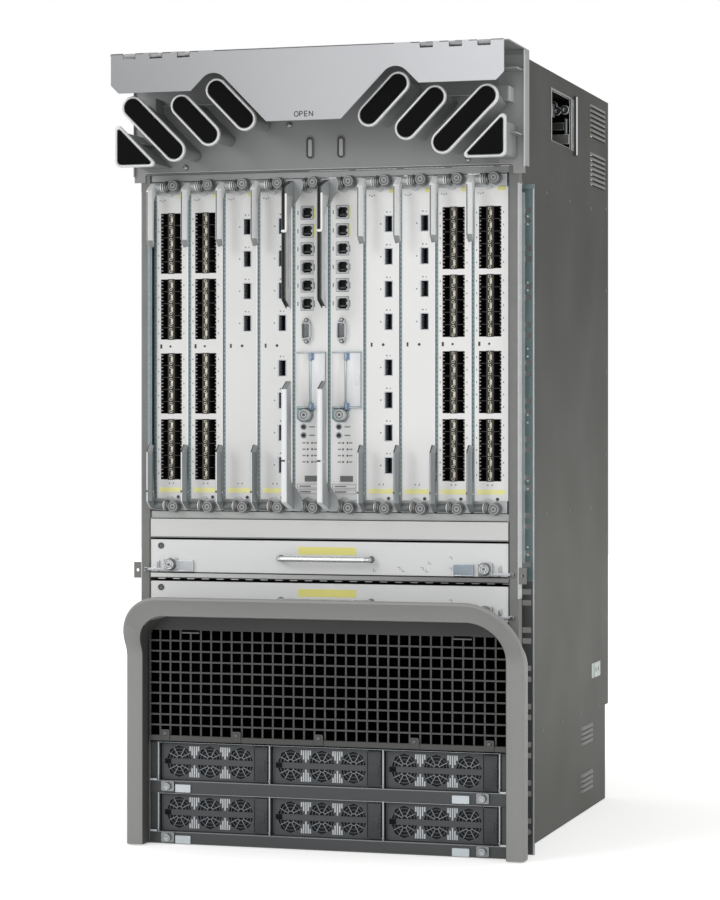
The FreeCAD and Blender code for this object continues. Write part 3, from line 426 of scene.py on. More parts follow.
def rounded(points, radius, steps=5):
    # the outline with its corners rounded; radius is one number or one for each corner
    outline = []
    count = len(points)
    for i, (u, v) in enumerate(points):
        r = radius[i] if isinstance(radius, (list, tuple)) else radius
        if r <= 0:
            outline.append((u, v))
            continue
        back = Vector((points[i - 1][0] - u, points[i - 1][1] - v)).normalized()
        ahead = Vector((points[(i + 1) % count][0] - u, points[(i + 1) % count][1] - v)).normalized()
        half = back.angle(ahead) / 2
        middle = (back + ahead).normalized() * (r / math.sin(half))
        centre = Vector((u, v)) + middle
        first = Vector((u, v)) + back * (r / math.tan(half)) - centre
        last = Vector((u, v)) + ahead * (r / math.tan(half)) - centre
        sweep = first.angle_signed(last)
        start = math.atan2(first.y, first.x)
        for k in range(steps + 1):
            turn = start - sweep * k / steps
            outline.append((centre.x + r * math.cos(turn), centre.y + r * math.sin(turn)))
    return outline


def plateOutline(x0, z0, x1, z1, radius, steps):
    return rounded([(x0, z0), (x1, z0), (x1, z1), (x0, z1)], radius, steps)


def makePiece(name, bm, used, body, replaced=(), bevel=0.0, segments=2, angle=32, paint=None):
    # paint picks a finish for each face
    bmesh.ops.recalc_face_normals(bm, faces=bm.faces)
    if bevel:
        sharp = [e for e in bm.edges if len(e.link_faces) == 2 and e.calc_face_angle() > math.radians(angle)]
        bmesh.ops.bevel(bm, geom=sharp, offset=bevel * mm, segments=segments, affect="EDGES", profile=0.5,
            clamp_overlap=True)
    if paint:
        for face in bm.faces:
            face.material_index = paint(face)
    mesh = bpy.data.meshes.new(name)
    bm.to_mesh(mesh)
    bm.free()
    for key in used:
        mesh.materials.append(finishes[key])
    mesh.polygons.foreach_set("use_smooth", [True] * len(mesh.polygons))
    mesh.set_sharp_from_angle(angle=math.radians(angle))
    piece = bpy.data.objects.new(name, mesh)
    scene.collection.objects.link(piece)
    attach(piece, body)
    if replaced:
        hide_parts(*replaced)
    return piece


# floor, room and lamps

roomSet = {"skyLevel": 0.42, "floorSize": 14.0, "floorColour": ink(238, 238, 237), "floorGlow": 0.5}
lampSet = {
    "key": {"place": (-2600, -3900, 2700), "aim": (0, 0, 450), "size": 2.4, "power": 66.0},
    "front": {"place": (900, -4600, 1500), "aim": (0, 0, 450), "size": 3.0, "power": 30.0},
    "right": {"place": (4200, -400, 1500), "aim": (0, 200, 450), "size": 2.6, "power": 26.0},
    "top": {"place": (-300, 100, 3800), "aim": (0, 200, 450), "size": 3.0, "power": 44.0},
}


def seenRay(tree):
    # camera, mirror and clear rays see the plain white room
    path = tree.nodes.new("ShaderNodeLightPath").outputs
    both = addMath(tree, "MAXIMUM", path["Is Camera Ray"], path["Is Glossy Ray"])
    return addMath(tree, "MAXIMUM", both, path["Is Transmission Ray"])


def addRoom():
    world = bpy.data.worlds.new("studioRoom")
    scene.world = world
    world.use_nodes = True
    tree = world.node_tree
    background = tree.nodes["Background"]
    background.inputs["Color"].default_value = (1, 1, 1, 1)
    level = addBlend(tree, seenRay(tree), roomSet["skyLevel"], 1.0)
    tree.links.new(level, background.inputs["Strength"])

    bm = bmesh.new()
    half = roomSet["floorSize"] / 2
    corners = [bm.verts.new((x * half, y * half, -0.0005)) for x, y in ((-1, -1), (1, -1), (1, 1), (-1, 1))]
    bm.faces.new(corners)
    mesh = bpy.data.meshes.new("floor")
    bm.to_mesh(mesh)
    bm.free()
    floor = bpy.data.objects.new("floor", mesh)
    scene.collection.objects.link(floor)
    material = bpy.data.materials.new("floorPaper")
    material.use_nodes = True
    tree = material.node_tree
    shader = tree.nodes["Principled BSDF"]
    shader.inputs["Base Color"].default_value = roomSet["floorColour"]
    shader.inputs["Roughness"].default_value = 0.9
    shader.inputs["Specular IOR Level"].default_value = 0.0
    shader.inputs["Emission Color"].default_value = (1, 1, 1, 1)
    # the paper turns plain white away from the object, as a bent backdrop does
    coords = tree.nodes.new("ShaderNodeTexCoord").outputs["Object"]
    length = tree.nodes.new("ShaderNodeVectorMath")
    length.operation = "LENGTH"
    tree.links.new(coords, length.inputs[0])
    away = addRange(tree, length.outputs["Value"], roomSet["floorGlow"], 1.0, 0.55, 1.6)
    tree.links.new(addMath(tree, "MULTIPLY", seenRay(tree), away), shader.inputs["Emission Strength"])
    mesh.materials.append(material)

    for name, lamp in lampSet.items():
        data = bpy.data.lights.new(name + "Lamp", "AREA")
        data.shape = "DISK"
        data.size = lamp["size"]
        data.energy = lamp["power"]
        holder = bpy.data.objects.new(name + "Lamp", data)
        scene.collection.objects.link(holder)
        holder.location = spot(*lamp["place"])
        way = spot(*lamp["aim"]) - holder.location
        holder.rotation_euler = way.to_track_quat("-Z", "Y").to_euler()
    scene.view_settings.view_transform = "Standard"


addRoom()
print("room and lamps ready")


# finishes of the CAD nodes that stay

# painted light and shade on the side walls: lighter low down, as from the bright floor, darker towards the
# top and at the very foot
addFade(finishes["sidePaint"], "Z", (300.0, 680.0), (0.82, 0.47))
addFade(finishes["sidePaint"], "Z", (60.0, 300.0), (0.84, 1.0))
# painted reflection: the silver of the door darkens towards the left
addFade(finishes["silverPaint"], "X", (-235.0, 225.0), (0.43, 0.93))
sideWall = addZone(finishes["sidePaint"], {"Y": (-1.0, 17.5)}, ink(133, 133, 131))
earthPad = {"X": (200.0, 260.0), "Y": (456.0, 510.5), "Z": (167.9, 187.1)}  # bare metal, right side only
addZone(finishes["sidePaint"], earthPad, ink(196, 205, 201), 0.42, 0.2)
dress(sideWall, "side_panel_right", "side_panel_left", "end_panels", "rear_panel")
dress(finishes["hoodPaint"], "hood_panel")
earZinc = makeFinish("earZinc", ink(112, 131, 132), rough=0.4, metal=0.4, tint=0.14, patch=20, grain=200)
addZone(earZinc, {"Z": (-1.0, 318.0)}, ink(80, 83, 83), 0.45, 0.2)
dress(earZinc, "rack_ears")
lipSteel = makeFinish("lipSteel", ink(150, 152, 151), rough=0.42, metal=0.3, tint=0.06, patch=14, grain=300,
    edge=0.3)
addZone(lipSteel, {"Y": (4.2, 600.0)}, ink(112, 118, 120), 0.4, 0.6)
dress(lipSteel, "card_cage_roof")
floorLip = makeFinish("floorLip", ink(166, 169, 167), rough=0.42, metal=0.3, tint=0.06, patch=14, grain=300,
    edge=0.3)
addZone(floorLip, {"Y": (4.2, 600.0)}, ink(112, 118, 120), 0.4, 0.6)
dress(floorLip, "card_cage_floor")
crossPaint = makeFinish("crossPaint", ink(218, 218, 217), rough=0.42, tint=0.025, grain=1500, bump=0.15,
    edge=0.3)
addZone(crossPaint, {"Z": (317.5, 324.6)}, ink(206, 209, 208), 0.32, 0.55)
dress(crossPaint, "front_cross_panels")
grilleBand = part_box("intake_grille")[1].z / mm
# painted shadow: the top 17 mm of the grille is darker, under the bezel's brow
addZone(finishes["grillePaint"], {"Z": (grilleBand - 17.2, grilleBand + 1)}, ink(46, 46, 46))
dress(finishes["grillePaint"], "intake_grille")
dress(finishes["foam"], "air_filter")
dress(finishes["laminate"], "backplane")
dress(finishes["darkPaint"], "power_trays", *["power_module_%d" % i for i in range(1, 7)])
dress(finishes["blackPlastic"], "power_inlets", *["push_button_%02d_%d" % (card, button) for card in (5, 6)
    for button in (1, 2)])

cardSet = {"count": 10, "plateY": 7.0, "plateSheet": 1.6, "boardInset": 6.0, "boardSheet": 2.4,
    "controllers": (5, 6), "smallPorts": (1, 2, 9, 10), "bracketY": 1.5, "screwIn": 26.9, "screwEnd": 5.9}
cards = range(1, cardSet["count"] + 1)


def cardBox(number):
    low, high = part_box("card_%02d" % number)
    return low.x / mm, high.x / mm, low.z / mm, high.z / mm


def dressCards():
    for number in cards:
        left, right, foot, top = cardBox(number)
        plateBack = cardSet["plateY"] + cardSet["plateSheet"]
        boardX = left + cardSet["boardInset"]
        finish = makeFinish("cardPaint_%02d" % number, ink(242, 242, 241), rough=0.4, tint=0.02, grain=1500,
            bump=0.1, edge=0.25)
        addZone(finish, {"Y": (-60, cardSet["plateY"] - 0.05)}, ink(168, 170, 171), 0.4, 0.35, 0.15)
        addZone(finish, {"Y": (plateBack + 0.05, 700)}, ink(120, 124, 126), 0.4, 0.7, 0.1)
        boardEnds = (boardX - 0.1, boardX + cardSet["boardSheet"] + 0.1)
        addZone(finish, {"X": boardEnds, "Y": (plateBack + 0.2, 480)}, ink(36, 88, 60), 0.42, 0.0, 0.16)
        if number in cardSet["smallPorts"]:
            addZone(finish, {"X": (left + 4.5, left + 32.5), "Y": (cardSet["plateY"] + 0.4, 38.4)},
                ink(17, 16, 13), 0.8, 0.0, 0.2)
        if number in cardSet["controllers"]:
            addZone(finish, {"X": (left + 7.0, left + 21.6), "Y": (plateBack - 0.4, 24.0)}, ink(14, 14, 15),
                0.6, 0.0, 0.2)
        # painted shade: each card's white is slightly darker the further left it stands
        addFade(finish, "X", (-60, 70), (0.91, 1.0))
        dress(finish, "card_%02d" % number)


dressCards()
print("CAD nodes dressed")


# hood door

doorSet = {"sheet": 1.8, "reach": 88.0, "inset": 5.3, "sideHeight": 46.4, "tabHeight": 84.4, "chamfer": 9.5,
    "guideGap": 4.5, "notchWidth": 15.2, "notchDepth": 7.0, "knuckleInsets": (95.3, 61.3, 28.3)}
guideSet = {"reach": 77.0, "cap": 5.0, "radius": 13.7, "rim": 3.4, "pad": 0.8, "post": 14.0,
    "ends": (((166.3, 54.9), (132.0, 89.9)), ((122.4, 38.5), (88.7, 73.0)), ((79.6, 21.5), (28.2, 72.5))),
    "cornerInset": 5.9, "cornerFoot": 2.8, "cornerSize": 55.0, "cornerRadii": (4.2, 7.0, 4.2)}
hoodFoot = topZ - 134.5


def guideEnds(index):
    return [(halfRack - inset, hoodFoot + height) for inset, height in guideSet["ends"][index]]


def addHoodDoor():
    s = doorSet
    front = -s["reach"]
    half = halfRack - s["inset"]
    sideZ = topZ - s["sideHeight"]
    tabZ = topZ - s["tabHeight"]
    (xa, za), (xb, zb) = guideEnds(0)
    gap = guideSet["radius"] + s["guideGap"]
    along = Vector((xb - xa, zb - za)).normalized()
    inner = Vector((xa, za)) + Vector((-along.y, along.x)) * gap
    tabX = inner.x + (tabZ - inner.y) * along.x / along.y
    heading = math.degrees(math.atan2(along.x, -along.y))
    bow = arc(xb, zb, gap, heading, 45, 14)
    shoulder = (bow[-1][0] + bow[-1][1] - sideZ, sideZ)
    right = [(tabX, tabZ)] + bow + [shoulder, (half - s["chamfer"], sideZ), (half, sideZ + s["chamfer"]),
        (half, topZ)]
    for inset in reversed(s["knuckleInsets"]):
        x = halfRack - inset
        w = s["notchWidth"] / 2
        right += [(x + w, topZ), (x + w, topZ - s["notchDepth"]), (x - w, topZ - s["notchDepth"]),
            (x - w, topZ)]
    outline = right + [(-x, z) for x, z in reversed(right)]
    bm = bmesh.new()
    addPull(bm, outline, "y", front, front + s["sheet"])
    makePiece("hood_door_panel", bm, ["silverPaint"], "hood_door", ["hood_door"], bevel=0.4,
        angle=20)


addHoodDoor()
print("hood door ready")


# cable guides

def cornerOutline(inset):
    right = halfRack - guideSet["cornerInset"] - inset
    foot = hoodFoot + guideSet["cornerFoot"] + inset
    size = guideSet["cornerSize"] - inset - inset / math.tan(math.pi / 8)
    radii = [max(0.9, radius - 0.7 * inset) for radius in guideSet["cornerRadii"]]
    return rounded([(right - size, foot), (right, foot), (right, foot + size)], radii, 6)


def crowned(bm, outlines, ys, finish=0):
    # a stack of outlines with the same number of points
    rings = [[bm.verts.new(spot(x, y, z)) for x, z in outline] for outline, y in zip(outlines, ys)]
    joinRings(bm, rings, finish)


def addGuides():
    s = guideSet
    rims = bmesh.new()
    pads = bmesh.new()
    capY = -s["reach"]
    backY = capY + s["cap"]
    r = s["radius"]
    for side in (1, -1):
        shapes = [lambda inset, e=guideEnds(i): stadium(e, r - inset) for i in range(len(s["ends"]))]
        shapes.append(cornerOutline)
        for number, shape in enumerate(shapes):
            def outline(inset):
                return [(side * x, z) for x, z in shape(inset)]
            # rounded rim, then the seat of the pad, 0.6 deep
            rimSteps = ((0.7, backY), (0.0, backY - 0.8), (0.0, capY + 2.0), (0.25, capY + 1.1),
                (0.75, capY + 0.4), (1.4, capY + 0.05), (s["rim"] - 1.4, capY),
                (s["rim"] - 0.8, capY + 0.35), (s["rim"] - 0.3, capY + 1.0), (s["rim"], capY + 1.9))
            crowned(rims, [outline(i) for i, y in rimSteps], [y for i, y in rimSteps])
            padRim = s["rim"] + 0.1
            padSteps = ((padRim, capY + 0.8), (padRim, capY - 0.1), (padRim + 0.4, capY - 0.55),
                (padRim + 1.2, capY - s["pad"]))
            crowned(pads, [outline(i) for i, y in padSteps], [y for i, y in padSteps])
            if number < len(s["ends"]):
                ends = [(side * x, z) for x, z in guideEnds(number)]
                post = stadium(ends, s["post"] / 2)
            else:
                post = outline(s["rim"] + 1.0)
            addPull(rims, post, "y", backY - 0.2, -1.6, 1)
    makePiece("cable_guide_rims", rims, ["rimPlastic", "postPlastic"], "chassis",
        ["cable_guides"], angle=40)
    makePiece("cable_guide_pads", pads, ["padRubber"], "chassis", ["guide_end_pads"],
        angle=50)


addGuides()
print("cable guides ready")


# lower bezel

bezelSet = {"legReach": 22.0, "browReach": 75.0, "legWidth": 21.3, "browHeight": 23.7, "height": 298.9,
    "foot": 1.0, "radius": 60.0, "wall": 3.0, "widen": 1.6, "leanZ": 232.0, "leanEase": 8.0, "edge": 3.2,
    "return": 8.0}


def bezelFace(z):
    # upright legs, then a brow that leans forward from leanZ on, with a soft start
    s = bezelSet
    slope = (s["browReach"] - s["legReach"]) / (s["height"] - s["leanZ"])
    over = z - s["leanZ"]
    ease = s["leanEase"]
    if over <= -ease:
        lean = 0.0
    elif over < ease:
        lean = slope * (over + ease) ** 2 / (4 * ease)
    else:
        lean = slope * over
    return -(s["legReach"] + lean)


def archPath(half, top, radius, foot):
    # right half of an arch from the foot to the middle, with the same number of points for every arch
    heights = [foot, 60.0, 140.0, 200.0, 214.0, 218.0, 222.0, 226.0, 230.0, 234.0]
    shoulder = top - radius
    path = [(half, min(z, shoulder)) for z in heights]
    path += arc(half - radius, shoulder, radius, 0, 90, 24)
    for x in (half - radius - 30, 110.0, 30.0):
        path.append((x, top))
    return path


def addBezel():
    s = bezelSet
    half = halfRack + s["widen"]
    wall = s["wall"]
    innerHalf = half - s["legWidth"]
    innerTop = s["height"] - s["browHeight"]
    innerRadius = s["radius"] - s["legWidth"]
    height, radius, foot = s["height"], s["radius"], s["foot"]
    e = s["edge"]
    insets = (0.0, e * 0.3, e, wall)
    outer, outerBow, outerEdge, outerBack = [archPath(half - i, height - i, radius - i, foot)
        for i in insets]
    inner, innerBow, innerEdge, innerBack = [archPath(innerHalf + i, innerTop + i, innerRadius + i, foot)
        for i in insets]
    sections = []
    for i in range(len(outer)):
        x, z = outer[i]
        face = bezelFace(z)
        # the outer wall shortens to a narrow return where the brow leans away from the chassis
        share = min(1.0, max(0.0, (z - s["leanZ"] + 6) / 20))
        backY = share * (face + s["return"])
        inFace = bezelFace(inner[i][1])
        section = [(outer[i], backY), (outer[i], face + e), (outerBow[i], face + e * 0.3),
            (outerEdge[i], face), (innerEdge[i], inFace), (innerBow[i], inFace + e * 0.3),
            (inner[i], inFace + e), (inner[i], 0.0), (innerBack[i], 0.0), (innerBack[i], inFace + wall),
            (outerBack[i], face + wall), (outerBack[i], backY)]
        sections.append([(p[0], y, p[1]) for p, y in section])
    sections += [[(-x, y, z) for x, y, z in section] for section in reversed(sections)]
    bm = bmesh.new()
    rings = [[bm.verts.new(spot(*p)) for p in section] for section in sections]
    joinRings(bm, rings)
    bmesh.ops.remove_doubles(bm, verts=bm.verts, dist=0.02 * mm)

    def innerSide(face):
        middle = face.calc_center_median()
        inward = -face.normal.x if middle.x > 0 else face.normal.x
        return 1 if inward > 0.5 and abs(middle.x) < (innerHalf + 1.0) * mm else 0

    makePiece("lower_bezel_arch", bm, ["bezelPlastic", "bezelShade"], "chassis",
        ["lower_bezel"], angle=40, paint=innerSide)


addBezel()
print("lower bezel ready")


# small tools for prints, rings and bent strips

def addPrint(bm, low, high, y, finish=0):
    # a thin printed or stuck-on field, low and high in x, z
    addBox(bm, (low[0], y - 0.12, low[1]), (high[0], y + 0.3, high[1]), finish)


def addDot(bm, x, z, radius, y, finish=0, sides=16):
    addTurned(bm, "y", x, z, [(radius, y + 0.3), (radius, y - 0.1), (radius * 0.8, y - 0.14)], sides,
        finish)


def addRing(bm, axis, u, v, inner, outer, start, end, sides=32, finish=0):
    steps = ((inner, start), (outer, start), (outer, end), (inner, end), (inner, start))
    rings = [ringAt(bm, axis, u, v, t, [radius] * sides) for radius, t in steps]
    joinRings(bm, rings, finish, capped=False)
    bmesh.ops.remove_doubles(bm, verts=rings[0] + rings[-1], dist=0.0001 * mm)


def addStripe(bm, path, width, front, back, finish=0, closed=False):
    # a flat band along a path in x, z
    count = len(path)
    rings = []
    for i, (x, z) in enumerate(path):
        before = path[i - 1] if i or closed else path[i]
        after = path[(i + 1) % count] if i < count - 1 or closed else path[i]
        way = Vector((after[0] - before[0], after[1] - before[1])).normalized() * (width / 2)
        sides = ((x - way.y, z + way.x), (x + way.y, z - way.x))
        corners = ((sides[0], front), (sides[1], front), (sides[1], back), (sides[0], back))
        rings.append([bm.verts.new(spot(u, y, v)) for (u, v), y in corners])
    if closed:
        rings.append(rings[0])
    joinRings(bm, rings, finish, capped=not closed)


def addFrame(bm, low, high, bar, front, back, finish=0):
    # four bars round a rectangle, low and high in x, z; bar holds left, right, foot and top widths
    left, right, foot, top = bar
    addBox(bm, (low[0], front, low[1]), (low[0] + left, back, high[1]), finish)
    addBox(bm, (high[0] - right, front, low[1]), (high[0], back, high[1]), finish)
    addBox(bm, (low[0] + left, front, low[1]), (high[0] - right, back, low[1] + foot), finish)
    addBox(bm, (low[0] + left, front, high[1] - top), (high[0] - right, back, high[1]), finish)


# ejector levers

leverSet = {"width": 6.5, "tip": 10.0, "slope": 1.8, "heel": 5.0, "heelTurn": 33.0, "barrel": 5.0,
    "barrelEnd": 15.4, "endDistance": 6.9, "gap": 0.3, "gasketGap": 3.64, "wall": 1.3, "channel": 3.0,
    "pin": 1.8, "darkFeet": (8, 9, 10), "edge": 1.8, "short": {"reach": 27.6, "depth": 10.0,
    "length": 74.0, "pinShare": 0.22, "cheek": 4.5}, "long": {"reach": 43.6, "depth": 17.6,
    "length": 148.0, "pinShare": 0.36, "cheek": 1.6}}


def leverProfile(kind, setBack=0.0, trim=0.0):
    # side view of a lever, y and z from its pivot
    s = leverSet
    r = s["heel"]
    front = cardSet["plateY"] - kind["reach"] - pivotY + setBack
    back = cardSet["plateY"] - kind["reach"] - pivotY + kind["depth"]
    heel = arc(0, 0, r, 90, -90 - s["heelTurn"], 16)
    corners = [(front, r), (front, kind["length"] - s["tip"] - trim), (back, kind["length"] - trim),
        (back, r - s["slope"] * back)]
    return rounded(heel + corners, [0] * len(heel) + [3.5, 1.5, 0.8, 4.0], 5)


pivotY = cardSet["bracketY"] - leverSet["gap"] - leverSet["heel"]


def addLever(number, where):
    s = leverSet
    left, right, foot, top = cardBox(number)
    isLong = number in cardSet["controllers"]
    kind = s["long" if isLong else "short"]
    way = 1 if where == "foot" else -1
    pivotZ = foot + s["endDistance"] if where == "foot" else top - s["endDistance"]
    armLeft = left - s["gasketGap"] + s["gap"]
    armRight = armLeft + s["width"]
    isOpen = isLong and where == "top"
    bm = bmesh.new()

    def seat(profile):
        return [(pivotY + y, pivotZ + way * z) for y, z in profile]

    if isOpen:
        wall = s["wall"]
        # the channel between the two walls and the whole left wall take the dark finish: painted shade in
        # the channel
        addPull(bm, seat(leverProfile(kind)), "x", armLeft, armLeft + wall)
        addPull(bm, seat(leverProfile(kind)), "x", armRight - wall, armRight, 1)
        addPull(bm, seat(leverProfile(kind, s["channel"], 2.0)), "x", armLeft + wall, armRight - wall, 3)
    else:
        # the front is a narrow edge at the left, and the cheek slopes back from it to the right
        stations = ((armLeft, 0.0), (armLeft + s["edge"], 0.0), (armRight, kind["cheek"]))
        rings = []
        for x, setBack in stations:
            rings.append([bm.verts.new(spot(x, y, z)) for y, z in seat(leverProfile(kind, setBack))])
        joinRings(bm, rings)
    bmesh.ops.recalc_face_normals(bm, faces=bm.faces)
    sharp = [e for e in bm.edges if e.calc_face_angle() > math.radians(32)]
    bmesh.ops.bevel(bm, geom=sharp, offset=0.5 * mm, segments=2, affect="EDGES", profile=0.5,
        clamp_overlap=True)
    # a fresh copy keeps the order of the faces the same in every run, whatever places the bevel freed
    bevelled = bpy.data.meshes.new("bevelled")
    bm.to_mesh(bevelled)
    bm.clear()
    bm.from_mesh(bevelled)
    bpy.data.meshes.remove(bevelled)
    arm = list(bm.faces)
    # barrel on the pivot, ribbed along its length
    rib = []
    x = armLeft + 0.4
    while x < left + s["barrelEnd"] - 0.8:
        rib += [(s["barrel"] - 0.1, x), (s["barrel"] - 0.1, x + 0.9), (s["barrel"] - 0.4, x + 1.1),
            (s["barrel"] - 0.4, x + 1.5)]
        x += 1.7
    rib.append((s["barrel"] - 0.4, left + s["barrelEnd"]))
    addTurned(bm, "x", pivotY, pivotZ, rib, 28, 5)
    # bright and dark collars at the end of the barrel
    collars = ((9.8, 4), (11.0, 3), (12.2, 4), (13.4, 3)) if where == "top" else ((12.0, 3), (13.0, 4),
        (14.2, 3))
    for place, finish in collars:
        r = s["barrel"] + (0.22 if finish == 4 else 0.1)
        addTurned(bm, "x", pivotY, pivotZ, [(r - 0.2, left + place), (r, left + place + 0.2),
            (r, left + place + 0.9), (r - 0.2, left + place + 1.1)], 28, finish)
    # joint band across the handle and a rivet behind it
    handleFront = cardSet["plateY"] - kind["reach"]
    pinZ = pivotZ + way * kind["length"] * kind["pinShare"]
    if where == "foot":
        addTurned(bm, "x", handleFront + 6.8, pinZ, [(s["pin"] - 0.7, armRight - 0.4),
            (s["pin"] - 0.7, armRight + 0.3), (0.5, armRight + 0.6), (0.1, armRight + 0.6)], 14, 4)
        bandEnd = armLeft + s["edge"] + (2.4 if isLong else 0.0)
        addBox(bm, (armLeft - 0.12, handleFront - 0.25, pinZ - 0.2), (bandEnd, handleFront + 2.6,
            pinZ + 2.0), 3)
    if isOpen:
        # painted highlight along the front of the right wall in the upper half, ending in a small hook, and
        # a second painted highlight line along the side
        hookZ = pivotZ + way * kind["length"] * 0.39
        rootZ = pivotZ + way * 14.0
        addBox(bm, (armRight - 1.9, handleFront - 0.3, hookZ), (armRight + 0.15, handleFront + 1.4, rootZ),
            4)
        lowZ, highZ = [pivotZ + way * kind["length"] * share for share in (0.25, 0.86)]
        addBox(bm, (armRight - 0.2, handleFront + 11.0, lowZ), (armRight + 0.2, handleFront + 14.0, highZ),
            4)
        addTurned(bm, "x", handleFront + 0.9, hookZ, [(0.9, armLeft - 0.2), (1.6, armLeft + 0.5),
            (1.8, armLeft + 2.0), (1.6, armRight)], 16, 4)
    if isLong:
        # rounded cheek between the handle and the barrel
        cheek = [(armLeft + 0.4, -5.0), (left + 12.0, -5.0), (left + 15.2, -1.0), (left + 14.4, 6.0),
            (left + 11.4, 13.0), (left + 7.4, 19.4), (armRight, 26.0), (armLeft + 0.4, 31.0)]
        cheek = rounded(cheek, [0.5, 2.0, 3.0, 5.0, 6.0, 6.0, 3.0, 1.0], 4)
        addPull(bm, [(u, pivotZ + way * v) for u, v in cheek], "y", pivotY - 6.0, pivotY - 4.4, 6)
    # faces take their finish by the way they face, as light falls on one steel: the elbow of short top
    # levers a painted highlight, the faces at the far end a painted shade, the sides and back the cheek
    # finish, a lighter or darker copy of the front's
    for face in arm:
        face.normal_update()
        n = face.normal
        middle = face.calc_center_median() / mm
        tipZ = abs(middle.z - pivotZ)
        if face.material_index == 3 or (isOpen and middle.x < armLeft + s["wall"] + 0.1):
            continue
        if where == "top" and not isLong and tipZ < kind["length"] * 0.17 and n.y < 0.3:
            face.material_index = 4
        elif abs(n.z) > 0.35 and tipZ > kind["length"] * 0.8:
            face.material_index = 3 if where == "foot" and middle.x < armLeft + s["edge"] else 2
        elif abs(n.x) > (0.6 if isLong else 0.25) or n.y > 0.5:
            face.material_index = 1
    body = "lever_%s_%02d" % (where, number)
    # front and cheek are the same steel in lighter and darker copies, painted light and shade: the top
    # levers a dark front and a pale cheek, the foot levers a bright front and a darker cheek, and the foot
    # levers of cards 8 to 10 a darker front
    front, cheek = "leverWhite", "leverGrey" if isLong else "leverBlue"
    if where == "top":
        front, cheek = "leverDark", "leverOpen" if isLong else "leverPale"
    elif number in s["darkFeet"]:
        front = "greySteel"
    # the barrels of the top levers are painted paler than those at the foot: painted light
    barrel = "barrelPale" if where == "top" else "barrelGrey"
    makePiece(body + "_handle", bm, [front, cheek, "leverTip", "leverDark", "elbowWhite", barrel,
        "lobeGrey"], body, [body])


for number in cards:
    for where in ("foot", "top"):
        addLever(number, where)
print("levers ready")


# thumb screws, pivot washers and gaskets of the cards

screwSet = {"radius": 6.65, "frontY": -12.4, "knurl": 0.35, "washer": 7.3, "earStart": 15.7, "earEnd": 17.3}
gasketSet = {"width": 3.5, "front": 6.4, "back": 10.0, "pitch": 5.2, "ends": 15.0}


def addThumbScrew(bm, x, z, seatY, front, radius, finish=0, trim=None):
    # trim gives the finishes of the painted shade and painted highlight on the head: a dark ring round the
    # seat and dark and bright rings on the face
    f = front
    if trim:
        dark, bright = trim
        addTurned(bm, "y", x, z, [(radius + 1.0, seatY), (radius + 1.0, seatY - 1.0),
            (radius, seatY - 1.4)], 32, dark)
        addRing(bm, "y", x, z, radius - 1.6, radius - 0.9, f - 0.12, f + 0.4, 32, bright)
        addRing(bm, "y", x, z, radius - 3.0, radius - 2.0, f + 0.3, f + 0.8, 32, dark)
        addRing(bm, "y", x, z, 1.9, 2.9, f - 0.1, f + 0.4, 24, bright)
        addDot(bm, x, z, 1.8, f + 0.75, dark, 20)
    addTurned(bm, "y", x, z, [(radius - 1.2, seatY), (radius - 1.2, seatY - 1.2),
        (radius - 0.5, seatY - 1.6), (radius, seatY - 2.0), (radius, f + 1.3), (radius - 0.6, f + 0.3),
        (radius - 1.0, f), (radius - 1.7, f), (radius - 1.9, f + 0.6), (radius - 3.1, f + 0.6),
        (radius - 3.3, f + 0.1), (2.1, f + 0.1), (1.9, f + 0.9), (0.05, f + 0.9)], 40, finish,
        screwSet["knurl"])


def addCardEnds(number):
    left, right, foot, top = cardBox(number)
    bm = bmesh.new()
    for end, way in ((foot, 1), (top, -1)):
        x = left + cardSet["screwIn"]
        z = end + way * cardSet["screwEnd"]
        addThumbScrew(bm, x, z, cardSet["bracketY"], screwSet["frontY"], screwSet["radius"], 0, (2, 3))
        pivotZ = end + way * leverSet["endDistance"]
        w = screwSet["washer"]
        earStart, earEnd = left + screwSet["earStart"], left + screwSet["earEnd"]
        addTurned(bm, "x", pivotY, pivotZ, [(w - 0.5, earStart - 0.1), (w, earStart + 0.3),
            (w, earEnd - 0.2), (w - 0.6, earEnd + 0.3), (w - 2.0, earEnd + 0.3), (w - 2.3, earEnd + 1.6),
            (1.2, earEnd + 1.6)], 30, 0)
        # hump of the bracket behind the washer
        hump = arc(0, 0, 5.4, 0, 180, 10)
        addPull(bm, [(left + 16.5 + u, end + way * (13.6 + v * 0.75)) for u, v in hump], "y", 3.2, 6.9, 1)
    makePiece("card_%02d_screws" % number, bm, ["screwSteel", "barrelPale", "shadowSteel", "screwRing"],
        "card_%02d" % number, angle=40)


def addGasket(number):
    left, right, foot, top = cardBox(number)
    g = gasketSet
    bm = bmesh.new()
    low, high = foot + g["ends"], top - g["ends"]
    addBox(bm, (left - g["width"], g["front"] + 0.5, low - 6), (left - 0.1, g["back"], high + 6))
    addBox(bm, (left - g["width"], g["front"] + 0.1, low), (left - g["width"] + 0.9, g["back"], high), 1)
    # painted highlight along the right edge of the plate
    addBox(bm, (right - 1.3, cardSet["plateY"] - 0.15, low - 6), (right - 0.1, cardSet["plateY"] + 0.2,
        high + 6), 2)
    count = int((high - low) / g["pitch"])
    for i in range(count):
        z = low + (i + 0.12) * (high - low) / count
        finger = [(left - 1.0, g["front"] + 0.6), (left - 1.3, g["front"] + 0.1),
            (left - 2.0, g["front"] + 0.1), (left - 2.4, g["front"] + 0.6)]
        addPull(bm, finger, "z", z, z + g["pitch"] * 0.5, 1)
    makePiece("card_%02d_gasket" % number, bm, ["gasketMesh", "gasketShade", "elbowWhite"],
        "card_%02d" % number, angle=50)


for number in cards:
    addCardEnds(number)
    addGasket(number)


cageSet = {"strip": (-223.6, -218.4), "stripLine": (-220.4, -219.6), "joint": (220.4, 221.6)}


